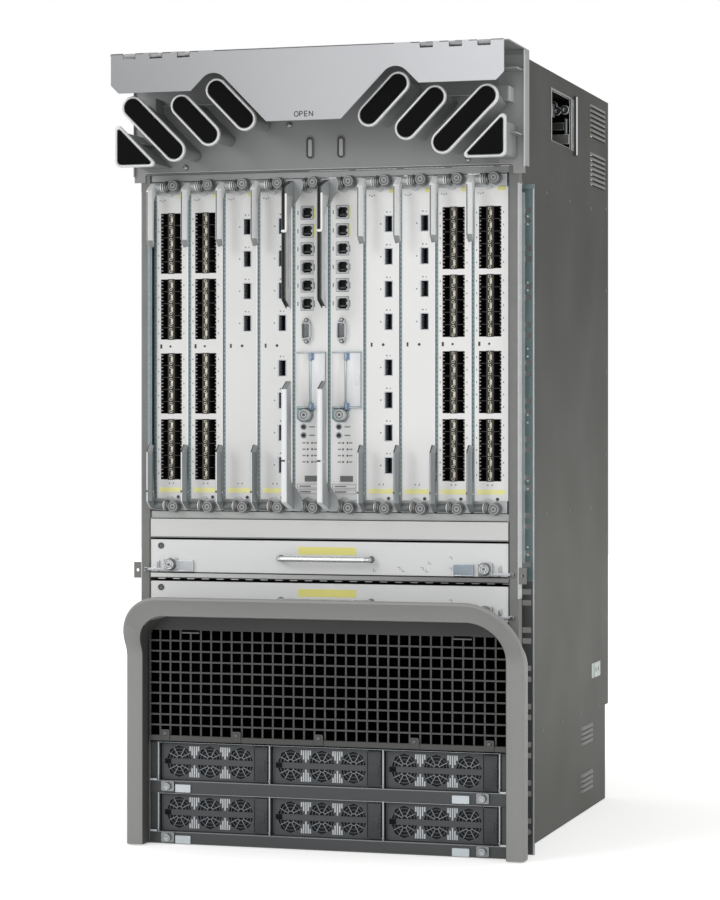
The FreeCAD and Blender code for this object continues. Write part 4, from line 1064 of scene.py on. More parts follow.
def addCageStrips():
    # light strip of the cage wall beside the first card, and the dark joint beside the last one
    left, right, foot, top = cardBox(1)
    strip, line, joint = cageSet["strip"], cageSet["stripLine"], cageSet["joint"]
    bm = bmesh.new()
    addBox(bm, (strip[0], -0.6, foot + 4), (strip[1], 0.4, top - 22))
    addBox(bm, (line[0], -0.8, foot + 4), (line[1], 0.4, top - 22), 1)
    addBox(bm, (joint[0], -0.5, foot + 2), (joint[1], 0.4, top - 2), 1)
    makePiece("cage_side_strips", bm, ["gasketMesh", "gasketShade"], "chassis", bevel=0.15,
        segments=1, angle=40)


addCageStrips()
print("card ends ready")


# small ports: row shelves, contact springs and the strip between the two columns

smallSet = {"offset": 5.1, "column": 9.3, "strip": 8.0, "rows": 5, "pitch": 14.4, "starts": (8.3, 87.2,
    -80.3, -159.2), "depth": 36.4, "shelf": 0.55, "springs": 3, "ring": 1.75, "leafIn": 3.9, "leaf": 2.5,
    "markIn": 1.7, "markSize": (1.1, 1.9)}


def addSmallPorts(number):
    left, right, foot, top = cardBox(number)
    mid = (foot + top) / 2
    s = smallSet
    face = cardSet["plateY"]
    columns = [left + s["offset"], left + s["offset"] + s["column"] + s["strip"]]
    stripX = columns[0] + s["column"]
    outerEnd = columns[1] + s["column"]
    metal = bmesh.new()
    prints = bmesh.new()
    for start in s["starts"]:
        base = mid + start
        addBox(metal, (stripX - 0.3, face - 0.35, base - 0.4), (stripX + s["strip"] + 0.3, face + 0.5,
            base + s["rows"] * s["pitch"] + 0.4), 1)
        for row in range(s["rows"]):
            z = base + row * s["pitch"]
            if row:
                for x in columns:
                    addBox(metal, (x, face + 0.25, z - s["shelf"] / 2), (x + s["column"], s["depth"],
                        z + s["shelf"] / 2), 2)
            # white bumps along the inner walls stand in for glints on the contact springs: painted
            # highlights
            for k in range(s["springs"]):
                dotZ = z + (k + 0.7) * s["pitch"] / (s["springs"] + 0.4)
                addBox(metal, (columns[0] + 0.7, face + 0.1, dotZ), (columns[0] + 1.7, face + 4,
                    dotZ + 1.0), 4)
                addBox(metal, (outerEnd - 1.5, face + 0.1, dotZ), (outerEnd - 0.6, face + 4, dotZ + 0.9), 4)
                addBox(metal, (columns[0] - 0.1, face + 3.2, dotZ + 0.2), (columns[0] + 0.8, face + 4,
                    dotZ + 0.8), 3)
                addBox(metal, (outerEnd - 0.7, face + 3.2, dotZ + 0.2), (outerEnd + 0.1, face + 4,
                    dotZ + 0.8), 3)
            for ringZ in (z + 2.4, z + s["pitch"] - 2.4):
                ringX = stripX + s["leafIn"] - 0.4
                addRing(metal, "y", ringX, ringZ, s["ring"] - 0.6, s["ring"], face - 0.75, face, 18, 0)
                addDot(metal, ringX, ringZ, s["ring"] - 0.55, face - 0.4, 3)
            # bent leaf between the two rings
            leafX = stripX + s["leafIn"]
            leaf = [(face - 0.3, z + 3.9), (face - 1.5, z + 5.8), (face - 1.7, z + 7.2),
                (face - 1.5, z + 8.6), (face - 0.3, z + 10.5), (face - 0.1, z + 10.5),
                (face - 0.1, z + 3.9)]
            addPull(metal, leaf, "x", leafX, leafX + s["leaf"])
            markZ = z + s["pitch"] / 2 - s["markSize"][1] / 2
            for markX in (left + s["markIn"], outerEnd + s["markIn"] + 0.4):
                addPrint(prints, (markX, markZ), (markX + s["markSize"][0], markZ + s["markSize"][1]), face)
    # plain marks on the plate between the middle blocks
    addPrint(prints, (left + 4.2, mid - 2.5), (left + 6.8, mid + 2.5), face, 1)
    addDot(prints, left + 17.2, mid, 1.4, face, 1)
    name = "card_%02d" % number
    makePiece(name + "_port_springs", metal, ["leafSteel", "stripSteel", "rowLine", "portBlack",
        "whitePaint"], name, angle=50)
    makePiece(name + "_port_marks", prints, ["greyInk", "darkInk"], name)


# large ports: cage rims, fingers and marks

largeSet = {"halves": {3: (1,), 4: (1, -1), 7: (1, -1), 8: (1,)}, "offset": 22.0, "width": 10.0,
    "height": 19.0, "pitch": 38.2, "count": 4, "first": 17.2}


def largePortFeet(number):
    left, right, foot, top = cardBox(number)
    mid = (foot + top) / 2
    span = largeSet["pitch"] * (largeSet["count"] - 1) + largeSet["height"]
    feet = []
    for half in largeSet["halves"][number]:
        base = mid + largeSet["first"] if half > 0 else mid - largeSet["first"] - span
        feet += [base + k * largeSet["pitch"] for k in range(largeSet["count"])]
    return feet


def addLargePorts(number):
    left, right, foot, top = cardBox(number)
    face = cardSet["plateY"]
    g = largeSet
    x = left + g["offset"]
    metal = bmesh.new()
    prints = bmesh.new()
    for z in largePortFeet(number):
        addFrame(metal, (x - 0.3, z - 0.4), (x + g["width"] + 0.3, z + g["height"] + 0.4),
            (1.6, 0.8, 0.8, 0.8), face - 0.5, face + 6, 0)
        for k in range(4):
            fingerZ = z + 1.6 + k * 4.2
            finger = [(x + 1.2, face - 0.9), (x + 2.6, face + 1.5), (x + 2.6, face + 8),
                (x + 1.0, face + 8)]
            addPull(metal, finger, "z", fingerZ, fingerZ + 3.2)
        addBox(metal, (x + 1.3, face + 20, z + 0.5), (x + g["width"] - 0.6, face + 24,
            z + g["height"] - 0.5), 1)
        addDot(prints, x + 3.0, z + g["height"] + 4.4, 0.95, face)
        tri = [(x + 6.2, z + g["height"] + 3.6), (x + 8.0, z + g["height"] + 3.6),
            (x + 7.1, z + g["height"] + 5.4)]
        addPull(prints, tri, "y", face - 0.12, face + 0.3)
        addDot(prints, x - 4.4, z + g["height"] / 2, 0.9, face)
    mid = (foot + top) / 2
    addPrint(prints, (left + 5.4, mid - 2.4), (left + 7.6, mid + 2.4), face, 1)
    addDot(prints, left + 20.6, mid, 1.7, face, 1)
    name = "card_%02d" % number
    makePiece(name + "_port_rims", metal, ["sideSteel", "blackPlastic"], name, angle=50)
    makePiece(name + "_port_marks", prints, ["greyInk", "darkInk"], name)


# fields and lamps that every port card carries

fieldSet = {"yellowFoot": 22.4, "yellowHeight": 5.6, "yellowIn": 3.2, "yellowEnd": 36.8, "cornerDrop": 19.6,
    "cornerSize": (9.0, 4.4), "cornerIn": 27.6, "lampIn": 27.2, "lampUp": 16.9, "lamp": 2.2}


def addCardFields(number):
    left, right, foot, top = cardBox(number)
    f = fieldSet
    face = cardSet["plateY"]
    bm = bmesh.new()
    addPrint(bm, (left + f["yellowIn"], foot + f["yellowFoot"]), (left + f["yellowEnd"],
        foot + f["yellowFoot"] + f["yellowHeight"]), face)
    z = top - f["cornerDrop"]
    addPrint(bm, (left + f["cornerIn"], z), (left + f["cornerIn"] + f["cornerSize"][0],
        z + f["cornerSize"][1]), face, 1)
    addRing(bm, "y", left + f["lampIn"], foot + f["lampUp"], f["lamp"] - 0.5, f["lamp"], face - 0.5,
        face + 0.3, 20, 3)
    addDot(bm, left + f["lampIn"], foot + f["lampUp"], f["lamp"] - 0.45, face - 0.1, 2)
    for k, x in enumerate((3.4, 6.4, 9.2)):
        addPrint(bm, (left + x, top - 22.6 - k % 2), (left + x + 1.5, top - 21.4 - k % 2), face, 4)
    for k in range(2):
        x = left + 14.6 + k * 5.2
        addPull(bm, [(x, foot + 32.5), (x + 2.2, foot + 32.5), (x + 1.1, foot + 34.6)], "y", face - 0.12,
            face + 0.3, 4)
    name = "card_%02d" % number
    makePiece(name + "_fields", bm, ["yellowStrip", "limeField", "blackPlastic", "greySteel", "greyInk"],
        name)


for number in cards:
    if number in cardSet["smallPorts"]:
        addSmallPorts(number)
    elif number in largeSet["halves"]:
        addLargePorts(number)
    if number not in cardSet["controllers"]:
        addCardFields(number)
print("port cards ready")


# controller cards: jacks, serial connector, flash door, lamps and display

controlSet = {"middle": 14.3, "jack": 13.5, "jackPitch": 21.45, "jackTop": 156.3, "jacks": 6,
    "serialMid": 17.0, "serialFront": 3.0, "doorTop": -8.0, "doorHeight": 66.0, "doorMargin": 2.5,
    "doorFront": 4.5, "knobDrop": 82.0, "buttonX": 10.0, "buttonHeights": (-96.2, -106.2),
    "lampX": (15.2, 20.6), "lampTop": -115.1, "lampPitch": 7.45, "lampRows": 4, "displayLow": (11.6,
    -160.6), "displayHigh": (27.4, -153.8), "boxLow": (2.0, -168.6), "boxHigh": (31.0, -163.4)}


def addController(number):
    left, right, foot, top = cardBox(number)
    mid = (foot + top) / 2
    c = controlSet
    face = cardSet["plateY"]
    metal = bmesh.new()
    prints = bmesh.new()
    middle = left + c["middle"]
    half = c["jack"] / 2
    for k in range(c["jacks"]):
        z = mid + c["jackTop"] - k * c["jackPitch"]
        low, high = (middle - half - 0.7, z - half - 0.9), (middle + half + 0.9, z + half + 0.9)
        addFrame(metal, (low[0] - 0.5, low[1] - 0.5), (high[0] + 0.5, high[1] + 0.5), (1, 1, 1, 1),
            face - 0.25, face + 0.2, 5)
        addFrame(metal, low, high, (1.0, 2.7, 1.4, 1.5), face - 0.6, face + 9, 0)
        for sign in (-1, 1):
            notch = [(low[0] + 1.0, z + sign * (half - 0.5)), (low[0] + 3.4, z + sign * (half - 0.5)),
                (low[0] + 1.0, z + sign * (half - 2.9))]
            addPull(metal, notch, "y", face - 0.4, face + 8)
        addBox(metal, (high[0] - 3.0, face - 0.9, z + 1.4), (high[0] - 1.0, face, z + 4.6), 2)
        addBox(metal, (high[0] - 3.0, face - 0.9, z - 4.6), (high[0] - 1.0, face, z - 1.4), 2)
        for pin in range(8):
            addBox(metal, (low[0] + 3.2 + pin * 0.95, face + 3, z - 3.6), (low[0] + 3.6 + pin * 0.95,
                face + 8, z - 2.4), 5)
        if k < 2:
            addPrint(prints, (high[0] + 0.7, z - half), (high[0] + 2.4, z + half), face, 1)
        else:
            addPrint(prints, (high[0] + 0.9, z - 4.2), (high[0] + 2.1, z + 3.6), face)
        addPrint(prints, (left + 2.4, z - 2.4), (left + 3.7, z + 2.4), face)
    # serial connector: flared shell, dark insert with pin holes, hex posts
    z = mid + c["serialMid"]
    shell = [(middle - 4.9, z - 9.6), (middle + 4.9, z - 8.2), (middle + 4.9, z + 8.2),
        (middle - 4.9, z + 9.6)]
    addPull(metal, rounded(shell, 2.0, 5), "y", c["serialFront"] - 0.8, face, 8)
    outline = rounded(shell, 2.0, 5)
    addStripe(metal, outline, 1.1, c["serialFront"] - 2.4, face, 0, closed=True)
    for column, count in ((-1.5, 5), (1.5, 4)):
        for k in range(count):
            addDot(metal, middle + column, z + (k - (count - 1) / 2) * 2.8, 0.8, c["serialFront"] - 0.75, 5,
                10)
    for side in (-1, 1):
        addTurned(metal, "y", middle, z + side * 12.6, [(2.7, face), (2.7, face - 4.6), (2.2, face - 5.0),
            (1.2, face - 5.0), (1.1, face - 3.4), (0.05, face - 3.4)], 6, 8)
        addDot(metal, middle, z + side * 12.6, 1.3, face - 4.7, 0, 14)
    # flash-card door
    x0, x1 = left + c["doorMargin"], right - c["doorMargin"]
    doorTop, doorFoot = mid + c["doorTop"], mid + c["doorTop"] - c["doorHeight"]
    front = c["doorFront"]
    addBox(metal, (x0 - 0.4, front - 1.0, doorTop - 1.3), (x1 + 0.4, face, doorTop + 0.3), 1)
    addBox(metal, (x0 - 0.4, front - 1.0, doorFoot - 0.3), (x1 + 0.4, face, doorFoot + 1.6), 1)
    addBox(metal, (x0 + 0.3, front - 0.5, doorFoot + 2.0), (x0 + 15.2, face, doorTop - 1.7), 3)
    addBox(metal, (x0 + 18.6, front - 0.9, doorFoot + 2.0), (x1 - 0.2, face, doorTop - 1.7), 6)
    addBox(metal, (x0 + 15.6, front - 0.3, doorFoot + 1.8), (x0 + 18.2, face, doorTop - 1.5), 1)
    for z in (doorTop - 5.4, doorFoot + 1.8):
        addBox(metal, (x0 + 15.2, front - 1.8, z - 4.0), (x0 + 21.4, face, z + 4.0), 7)
        addTurned(metal, "z", x0 + 17.2, front - 1.4, [(1.0, z - 4.4), (1.3, z - 4.1), (1.3, z + 4.1),
            (1.0, z + 4.4)], 14, 1)
    addBox(metal, (x1 - 6.0, front - 1.6, (doorTop + doorFoot) / 2 - 6),
        (x1 - 1.6, face, (doorTop + doorFoot) / 2 + 6), 6)
    # knob on its round plate, with the hinge plate of the door behind it
    knobZ = mid - c["knobDrop"]
    hinge = [(left + 1.4, knobZ - 4.4), (left + 7.0, knobZ - 9.0), (left + 19.0, knobZ - 9.0),
        (left + 23.0, knobZ - 2.0), (left + 23.0, doorFoot - 0.4), (left + 1.4, doorFoot - 0.4)]
    addPull(metal, rounded(hinge, [2.0, 4.0, 4.0, 3.0, 0.6, 0.6], 4), "y", face - 0.6, face + 0.2, 9)
    addTurned(metal, "y", middle, knobZ, [(8.2, face), (8.2, face - 0.7), (7.7, face - 1.0),
        (6.8, face - 1.0)], 36, 1)
    addThumbScrew(metal, middle, knobZ, face - 0.8, face - 13.4, 6.65, 0, (8, 3))
    # lamps, display and plain outlined boxes
    for x in c["lampX"]:
        for row in range(c["lampRows"]):
            z = mid + c["lampTop"] - row * c["lampPitch"]
            addDot(prints, left + x, z, 1.25, face, 2)
            out = left + (8.6 if x == c["lampX"][0] else 22.6)
            addPrint(prints, (out, z - 0.7), (out + 4.0, z + 0.7), face, 3)
    addBox(prints, (left + c["displayLow"][0], face - 0.5, mid + c["displayLow"][1]),
        (left + c["displayHigh"][0], face + 0.3, mid + c["displayHigh"][1]), 4)
    for column in range(16):
        for row in range(6):
            x = left + c["displayLow"][0] + 0.9 + column * 0.93
            z = mid + c["displayLow"][1] + 0.9 + row * 0.96
            addBox(prints, (x, face - 0.6, z), (x + 0.5, face, z + 0.5), 3)
    for drop in (0.0, 6.6):
        low = (left + c["boxLow"][0], mid + c["boxLow"][1] - drop)
        high = (left + c["boxHigh"][0], mid + c["boxHigh"][1] - drop)
        addFrame(prints, low, high, (0.45, 0.45, 0.45, 0.45), face - 0.12, face + 0.3, 3)
        addPrint(prints, (low[0] + 3, low[1] + 1.7), (low[0] + 17, low[1] + 3.2), face, 3)
    for height in c["buttonHeights"]:
        addRing(prints, "y", left + c["buttonX"], mid + height, 2.75, 4.0, face - 0.3, face + 0.2, 26, 5)
        addPrint(prints, (left + 17.0, mid + height - 0.7), (left + 24.0, mid + height + 0.7), face, 3)
    name = "card_%02d" % number
    makePiece(name + "_connectors", metal, ["jackSteel", "zinc", "portBlack", "whitePaint", "brassPin",
        "darkInk", "coolPaint", "bluePaint", "shadowSteel", "gasketMesh"], name, bevel=0.12,
        segments=1, angle=50)
    makePiece(name + "_lamps", prints, ["greyInk", "yellowField", "lampGrey", "greyInk", "displayGrey",
        "sideSteel"], name)


for number in cardSet["controllers"]:
    addController(number)
print("controller cards ready")


# fan trays

fanSet = {"front": 0.5, "sheet": 2.0, "height": 38.4, "length": 500.0, "wall": 30.0, "tin": 1.6,
    "radius": 88.0, "hub": 32.0, "handleHalf": 55.5, "handleReach": 20.0, "rod": 3.2, "bend": 8.0,
    "handleUp": 18.0, "screwIn": 26.8, "screwUp": 9.0, "lampIn": 13.2, "lampUp": 31.0, "lamp": 3.6,
    "field": (-34.5, 36.8, 22.6, 31.6), "plates": ((-188.0, -165.0, 2), (155.0, 179.0, 5)), "blades": 7,
    "cornerMarks": ((59.2, 5.4, 1), (88.8, 8.4, -1), (94.0, 5.4, 1), (117.0, 8.4, -1), (122.6, 5.4, 1),
    (126.1, 14.8, 1), (151.3, 21.0, -1), (151.3, 8.4, -1))}


def addRoundHole(bm, low, high, z0, z1, radius, sides=64, finish=0):
    # a flat cell with a round hole in its middle
    cx, cy = (low[0] + high[0]) / 2, (low[1] + high[1]) / 2
    hx, hy = (high[0] - low[0]) / 2, (high[1] - low[1]) / 2
    rings = []
    for z, isHole in ((z0, False), (z0, True), (z1, True), (z1, False), (z0, False)):
        ring = []
        for i in range(sides):
            turn = 2 * math.pi * (i + 0.5) / sides
            u, v = math.cos(turn), math.sin(turn)
            reach = radius if isHole else min(hx / max(abs(u), 1e-6), hy / max(abs(v), 1e-6))
            ring.append(bm.verts.new(spot(cx + u * reach, cy + v * reach, z)))
        rings.append(ring)
    joinRings(bm, rings, finish, capped=False)


def addFan(bm, x, y, z0, z1, radius, hub):
    # shroud, arms, hub and twisted blades
    addRing(bm, "z", x, y, radius - 2.2, radius + 1.6, z0 + 1.0, z1, 56, 0)
    addTurned(bm, "z", x, y, [(hub - 1, z0 + 0.4), (hub, z0 + 1.6), (hub, z1 - 3), (hub - 2, z1 - 1),
        (hub - 6, z1 - 0.6), (8, z1 - 0.6), (7, z1 - 1.2), (0.1, z1 - 1.2)], 40, 0)
    for k in range(4):
        turn = math.radians(90 * k + 45)
        u, v = math.cos(turn), math.sin(turn)
        corners = ((hub - 2, 3), (radius + 1, 3), (radius + 1, -3), (hub - 2, -3))
        arm = [(x + u * reach - v * wide, y + v * reach + u * wide) for reach, wide in corners]
        addPull(bm, arm, "z", z0 + 0.2, z0 + 3.0)
    for k in range(fanSet["blades"]):
        rings = []
        for step in range(9):
            share = step / 8
            r = hub - 1 + share * (radius - 5 - hub)
            turn = 2 * math.pi * k / fanSet["blades"] + share * 0.35
            reach = (0.34 - 0.06 * share) * (1 + 10 / r)
            ring = []
            for side, lift in ((-1, z0 + 5.0 + 3 * share), (1, z1 - 3.5 - 2 * share)):
                for sheet in (-0.7, 0.7):
                    a = turn + side * reach
                    place = (x + r * math.cos(a), y + r * math.sin(a), lift + sheet * side)
                    ring.append(bm.verts.new(spot(*place)))
            rings.append(ring)
        joinRings(bm, rings, 1)


def addFanTray(body, node):
    low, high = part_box(node)
    base = low.z / mm
    half = high.x / mm
    f = fanSet
    front = f["front"]
    back = front + f["length"]
    floorY = front + f["sheet"]
    top = base + f["height"]
    bm = bmesh.new()
    addPull(bm, plateOutline(-half, base, half, top, 0.8, 3), "y", front, floorY)
    addBox(bm, (-half + 2, floorY, top - 1.4), (half - 2, floorY + 9, top - 0.2))
    makePiece(node + "_front", bm, ["trayPaint"], body, [node], bevel=0.5, angle=20)

    bm = bmesh.new()
    rows, columns = 2, 2
    cellX, cellY = 2 * half / columns, (back - floorY) / rows
    wallTop = base + f["wall"]
    for column in range(columns):
        for row in range(rows):
            corner = (-half + column * cellX, floorY + row * cellY)
            addRoundHole(bm, corner, (corner[0] + cellX, corner[1] + cellY), base, base + f["tin"],
                f["radius"])
    for x in (-half, half - f["tin"]):
        addBox(bm, (x, floorY, base + f["tin"]), (x + f["tin"], back, wallTop))
    addBox(bm, (-half + f["tin"], back - f["tin"], base + f["tin"]), (half - f["tin"], back, wallTop))
    makePiece(node + "_pan", bm, ["zinc"], body, angle=40)

    bm = bmesh.new()
    for column in range(columns):
        for row in range(rows):
            addFan(bm, -half + (column + 0.5) * cellX, floorY + (row + 0.5) * cellY, base + 0.3,
                wallTop - f["tin"], f["radius"], f["hub"])
    makePiece(node + "_fans", bm, ["blackPlastic", "fanBlade"], body, angle=40)

    # handle, brackets, screws and plates
    bm = bmesh.new()
    rodY = -f["handleReach"] + f["rod"]
    z = base + f["handleUp"]
    bend = arc(-f["handleHalf"] + f["bend"], rodY + f["bend"], f["bend"], 180, 270, 8)
    leftHalf = [(-f["handleHalf"], front + 0.2)] + bend
    path = [(x, y, z) for x, y in leftHalf] + [(-x, y, z) for x, y in reversed(leftHalf)]
    addRod(bm, path, f["rod"], 18, 0)
    # dark sleeves on the rod's ends: painted shade
    for side in (-1, 1):
        addTurned(bm, "y", side * f["handleHalf"], z, [(f["rod"] + 0.9, front),
            (f["rod"] + 0.9, front - 2.0), (f["rod"] + 0.35, front - 2.6),
            (f["rod"] + 0.35, rodY + f["bend"] - 1.0), (f["rod"], rodY + f["bend"] - 2.0)], 20, 3)
    for side in (-1, 1):
        x = side * (half - f["screwIn"])
        seat = front - 4.0
        bracket = plateOutline(x - 8.6, base + 0.8, x + 8.6, base + 16.4, [0.8, 0.8, 3, 3], 4)
        addPull(bm, bracket, "y", seat, front, 1)
        addThumbScrew(bm, x, base + f["screwUp"], seat, seat - 7.0, 6.6, 4, (3, 2))
        wing = side * (half - 10.0)
        ledge = side * (half + 7.0)
        addBox(bm, (x, front - 3.4, base + 1.6), (ledge, front - 0.8, base + 4.4), 2)
        addBox(bm, (ledge, front - 4.0, base + 1.0), (ledge - side * 4.5, front - 0.7, base + 5.0), 3)
        addBox(bm, (x, front - 2.6, base + 0.4), (wing, front, base + 2.2), 1)
        addBox(bm, (wing - 1.6, front - 2.6, base + 0.4), (wing + 1.6, front, base + 13.0), 1)
    for x0, x1, finish in f["plates"]:
        plate = plateOutline(x0, base + 1.0, x1, base + 14.0, 1.2, 3)
        addPull(bm, plate, "y", front - 3.6, front, finish)
        addBox(bm, (x0, front - 3.9, base + 0.4), (x1, front, base + 1.6), 1)
    makePiece(node + "_handle", bm, ["handleSteel", "greySteel", "trayPlate", "shadowSteel", "screwSteel",
        "bluePlate"], body, bevel=0.2, segments=2, angle=40)

    # lamp, plain field and corner marks
    bm = bmesh.new()
    x0, x1, z0, z1 = f["field"]
    addPrint(bm, (x0, base + z0), (x1, base + z1), front)
    lampX, lampZ = -half + f["lampIn"], base + f["lampUp"]
    addRing(bm, "y", lampX, lampZ, f["lamp"] - 1.1, f["lamp"], front - 1.2, front + 0.2, 28, 1)
    addDot(bm, lampX, lampZ, f["lamp"] - 1.0, front - 0.4, 2, 24)
    for x, up, way in f["cornerMarks"]:
        z = base + up
        addStripe(bm, [(x - way * 1.3, z + way * 2.0), (x - way * 1.3, z - way), (x + way * 1.8, z - way)],
            0.7, front - 0.12, front + 0.3, 3)
    makePiece(node + "_lamp", bm, ["yellowField", "darkInk", "lampGrey", "greyInk"], body)


def addFrontSeams():
    # face of the shelf between the trays, with dark joints round it and round the panel above
    bm = bmesh.new()
    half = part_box("fan_tray_upper")[1].x / mm
    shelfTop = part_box("fan_tray_upper")[0].z / mm
    panelFoot = shelfTop + fanSet["height"] + 2.4
    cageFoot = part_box("card_cage_floor")[0].z / mm
    addBox(bm, (-half + 0.4, -0.7, shelfTop - 6.4), (half - 0.4, 0.3, shelfTop - 1.5))
    addBox(bm, (-half + 0.2, -0.5, shelfTop - 1.5), (half - 0.2, 0.3, shelfTop - 0.3), 1)
    addBox(bm, (-half + 0.2, -0.5, shelfTop - 7.4), (half - 0.2, 0.3, shelfTop - 6.4), 1)
    addBox(bm, (-half + 0.4, -0.4, panelFoot + 0.1), (half - 0.4, 0.4, panelFoot + 1.5), 2)
    addBox(bm, (-half + 0.4, -0.4, cageFoot - 1.3), (half - 0.4, 0.4, cageFoot - 0.2), 1)
    for k in range(24):
        x = -half + 10 + k * 18.4
        addBox(bm, (x, -0.7, shelfTop - 8.5), (x + 9, 0.3, shelfTop - 7.5))
    for side in (-1, 1):
        addBox(bm, (side * (half + 0.1), -0.5, shelfTop - 50), (side * (half + 1.4), 0.3, cageFoot - 0.5),
            1)
    makePiece("front_seams", bm, ["shelfSteel", "seamDark", "greyInk"], "chassis", bevel=0.12,
        segments=1, angle=40)


addFanTray("fan_tray_upper", "fan_tray_upper")
addFanTray("chassis", "fan_tray_lower")
addFrontSeams()
print("fan trays ready")


# power modules: fan guards, fins, plain label and handle panel

powerSet = {"front": 6.0, "height": 44.5, "railHeight": 14.8, "trayPitch": 61.0, "guard": 15.3, "bar": 7.0,
    "margin": 2.8, "recess": 3.0, "grip": 17.0, "gripFront": 2.0, "fans": 3, "wires": (3.4, 8.0, 12.2),
    "clipHeight": 12.0, "clips": ((-205.6, -189.4), (182.4, 197.6)), "clipPlates": ((-188.0, -168.7),
    (153.3, 174.0))}


def dressModules():
    # dark cases with black fan recesses
    for number in range(1, 7):
        case = makeFinish("moduleCase_%d" % number, ink(66, 68, 71), rough=0.45, tint=0.08, grain=1400,
            bump=0.2, edge=0.4)
        addZone(case, {"Y": (powerSet["front"] + 0.25, powerSet["front"] + powerSet["recess"] + 0.2)},
            ink(6, 6, 7), 0.8, 0.0)
        dress(case, "power_module_%d" % number)


dressModules()


def addPowerModule(number):
    node = "power_module_%d" % number
    low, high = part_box(node)
    left, right, base = low.x / mm, high.x / mm, low.z / mm
    p = powerSet
    face = p["front"]
    top = base + p["height"]
    mid = base + p["height"] / 2
    gripX = right - p["grip"]
    pitch = (gripX - left - p["margin"]) / p["fans"]
    dark = bmesh.new()
    wire = bmesh.new()
    for k in range(p["fans"]):
        x = left + p["margin"] + (k + 0.5) * pitch
        # wires and spokes lie in the two half rounds, behind the level bar
        for side in (-1, 1):
            middle = mid + side * p["bar"] / 2
            for r in p["wires"]:
                path = arc(x, middle, r, 0, side * 180, 16)
                addStripe(wire, path, 0.8, face + 0.9, face + 1.6, 1 if r < 5 else 0)
            for spoke in (26, 62, 118, 154):
                turn = math.radians(side * spoke)
                u, v = math.cos(turn), math.sin(turn)
                spokeEnds = [(x + u * reach, middle + v * reach) for reach in (3.4, p["guard"] - 0.4)]
                addStripe(wire, spokeEnds, 0.85, face + 0.4, face + 1.2, 1)
            if k:
                finX = left + p["margin"] + k * pitch
                for fin, reach in ((-5.4, 5.5), (-2.8, 10.5), (0.0, 14.0), (2.8, 10.5), (5.4, 5.5)):
                    ends = [middle + side * (p["guard"] - trim) for trim in (reach + 0.5, 0.3)]
                    addBox(wire, (finX + fin - 0.85, face - 0.7, ends[0]), (finX + fin + 0.85, face,
                        ends[1]), 3)
    # frame lines of the face and a plain black label
    addFrame(dark, (left + 0.4, base + 0.6), (gripX - 0.6, top - 0.6), (1.4, 1.0, 1.4, 1.4), face - 0.9,
        face, 0)
    addBox(dark, (left + 4.0, face - 0.4, mid - 3.3), (left + 12.4, face, mid + 3.3), 2)
    # stepped handle panel
    addBox(dark, (gripX - 0.4, p["gripFront"] - 0.7, base + 1.4), (right - 0.2, face, top - 1.4), 1)
    addBox(dark, (gripX + 2.0, p["gripFront"] - 1.1, base + 5.0), (right - 2.6, face, top - 8.5), 1)
    addBox(dark, (right - 1.7, p["gripFront"] - 0.9, base + 1.6), (right - 0.1, face, top - 1.6), 2)
    addBox(dark, (gripX + 3.4, p["gripFront"] - 2.0, mid - 9.0), (right - 4.6, face, mid + 5.0), 1)
    addBox(dark, (gripX - 2.0, face - 2.6, base + 2.6), (gripX - 0.5, face, top - 2.6), 2)
    for k in range(5):
        addBox(dark, (right - 2.4, p["gripFront"] - 1.2, base + 8 + k * 5.4),
            (right - 0.3, face, base + 10 + k * 5.4), 2)
    makePiece(node + "_face", dark, ["moduleFrame", "moduleGrip", "portBlack"], node,
        bevel=0.3, segments=2)
    makePiece(node + "_guards", wire, ["guardWire", "guardBar", "greySteel", "finSteel"], node,
        angle=40)


for number in range(1, 7):
    addPowerModule(number)


def addTrayFittings():
    # bright partition edges with a screw each, clips and plates on the rails
    p = powerSet
    low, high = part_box("power_trays")
    half = high.x / mm
    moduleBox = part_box("power_module_2")
    gap = (moduleBox[1].x - moduleBox[0].x) / mm + 3.4
    bm = bmesh.new()
    for tray in (0, 1):
        shelf = tray * p["trayPitch"] + p["railHeight"]
        end = (tray + 1) * p["trayPitch"]
        for edge in range(4):
            x = (edge - 1.5) * gap
            addBox(bm, (x - 0.85, -0.7, shelf + 0.2), (x + 0.85, 3.0, end - 0.2))
            addTurned(bm, "y", x, shelf + 3.2, [(1.5, 0.2), (1.5, -1.4), (1.0, -2.0), (0.1, -2.0)], 16, 2)
        addBox(bm, (-half, -0.4, shelf - 1.2), (half, 1.2, shelf - 0.05), 1)
        addBox(bm, (-half + 8, -0.3, end - 1.2), (half - 8, 1.2, end - 0.3), 4 if tray else 2)
        for side in (-1, 1):
            outer = side * 1.5 * gap
            x0, x1 = outer + side * 1.4, side * (half - 0.2)
            addBox(bm, (x0, 2.0, shelf + 0.3), (x1, 3.4, end - 0.3), 5)
            addBox(bm, (x0, -3.2, shelf - 0.4), (x1, 0.0, shelf + 2.0), 4)
        foot = tray * p["trayPitch"] + 1.0
        for x0, x1 in p["clips"]:
            z = foot + 1.0
            clip = plateOutline(x0, z, x1, z + p["clipHeight"], 2.0, 4)
            addPull(bm, clip, "y", -2.8, 0.0, 3)
            addThumbScrew(bm, (x0 + x1) / 2, z + p["clipHeight"] / 2, -2.8, -7.4, 4.8)
        for x0, x1 in p["clipPlates"]:
            plate = plateOutline(x0, foot, x1, foot + 9.5, 1.0, 3)
            addPull(bm, plate, "y", -2.2, 0.0, 4)
    makePiece("power_tray_fittings", bm, ["partitionEdge", "railEdge", "greySteel", "greySteel",
        "plateSteel", "darkPaint"], "chassis", bevel=0.15, segments=1, angle=40)


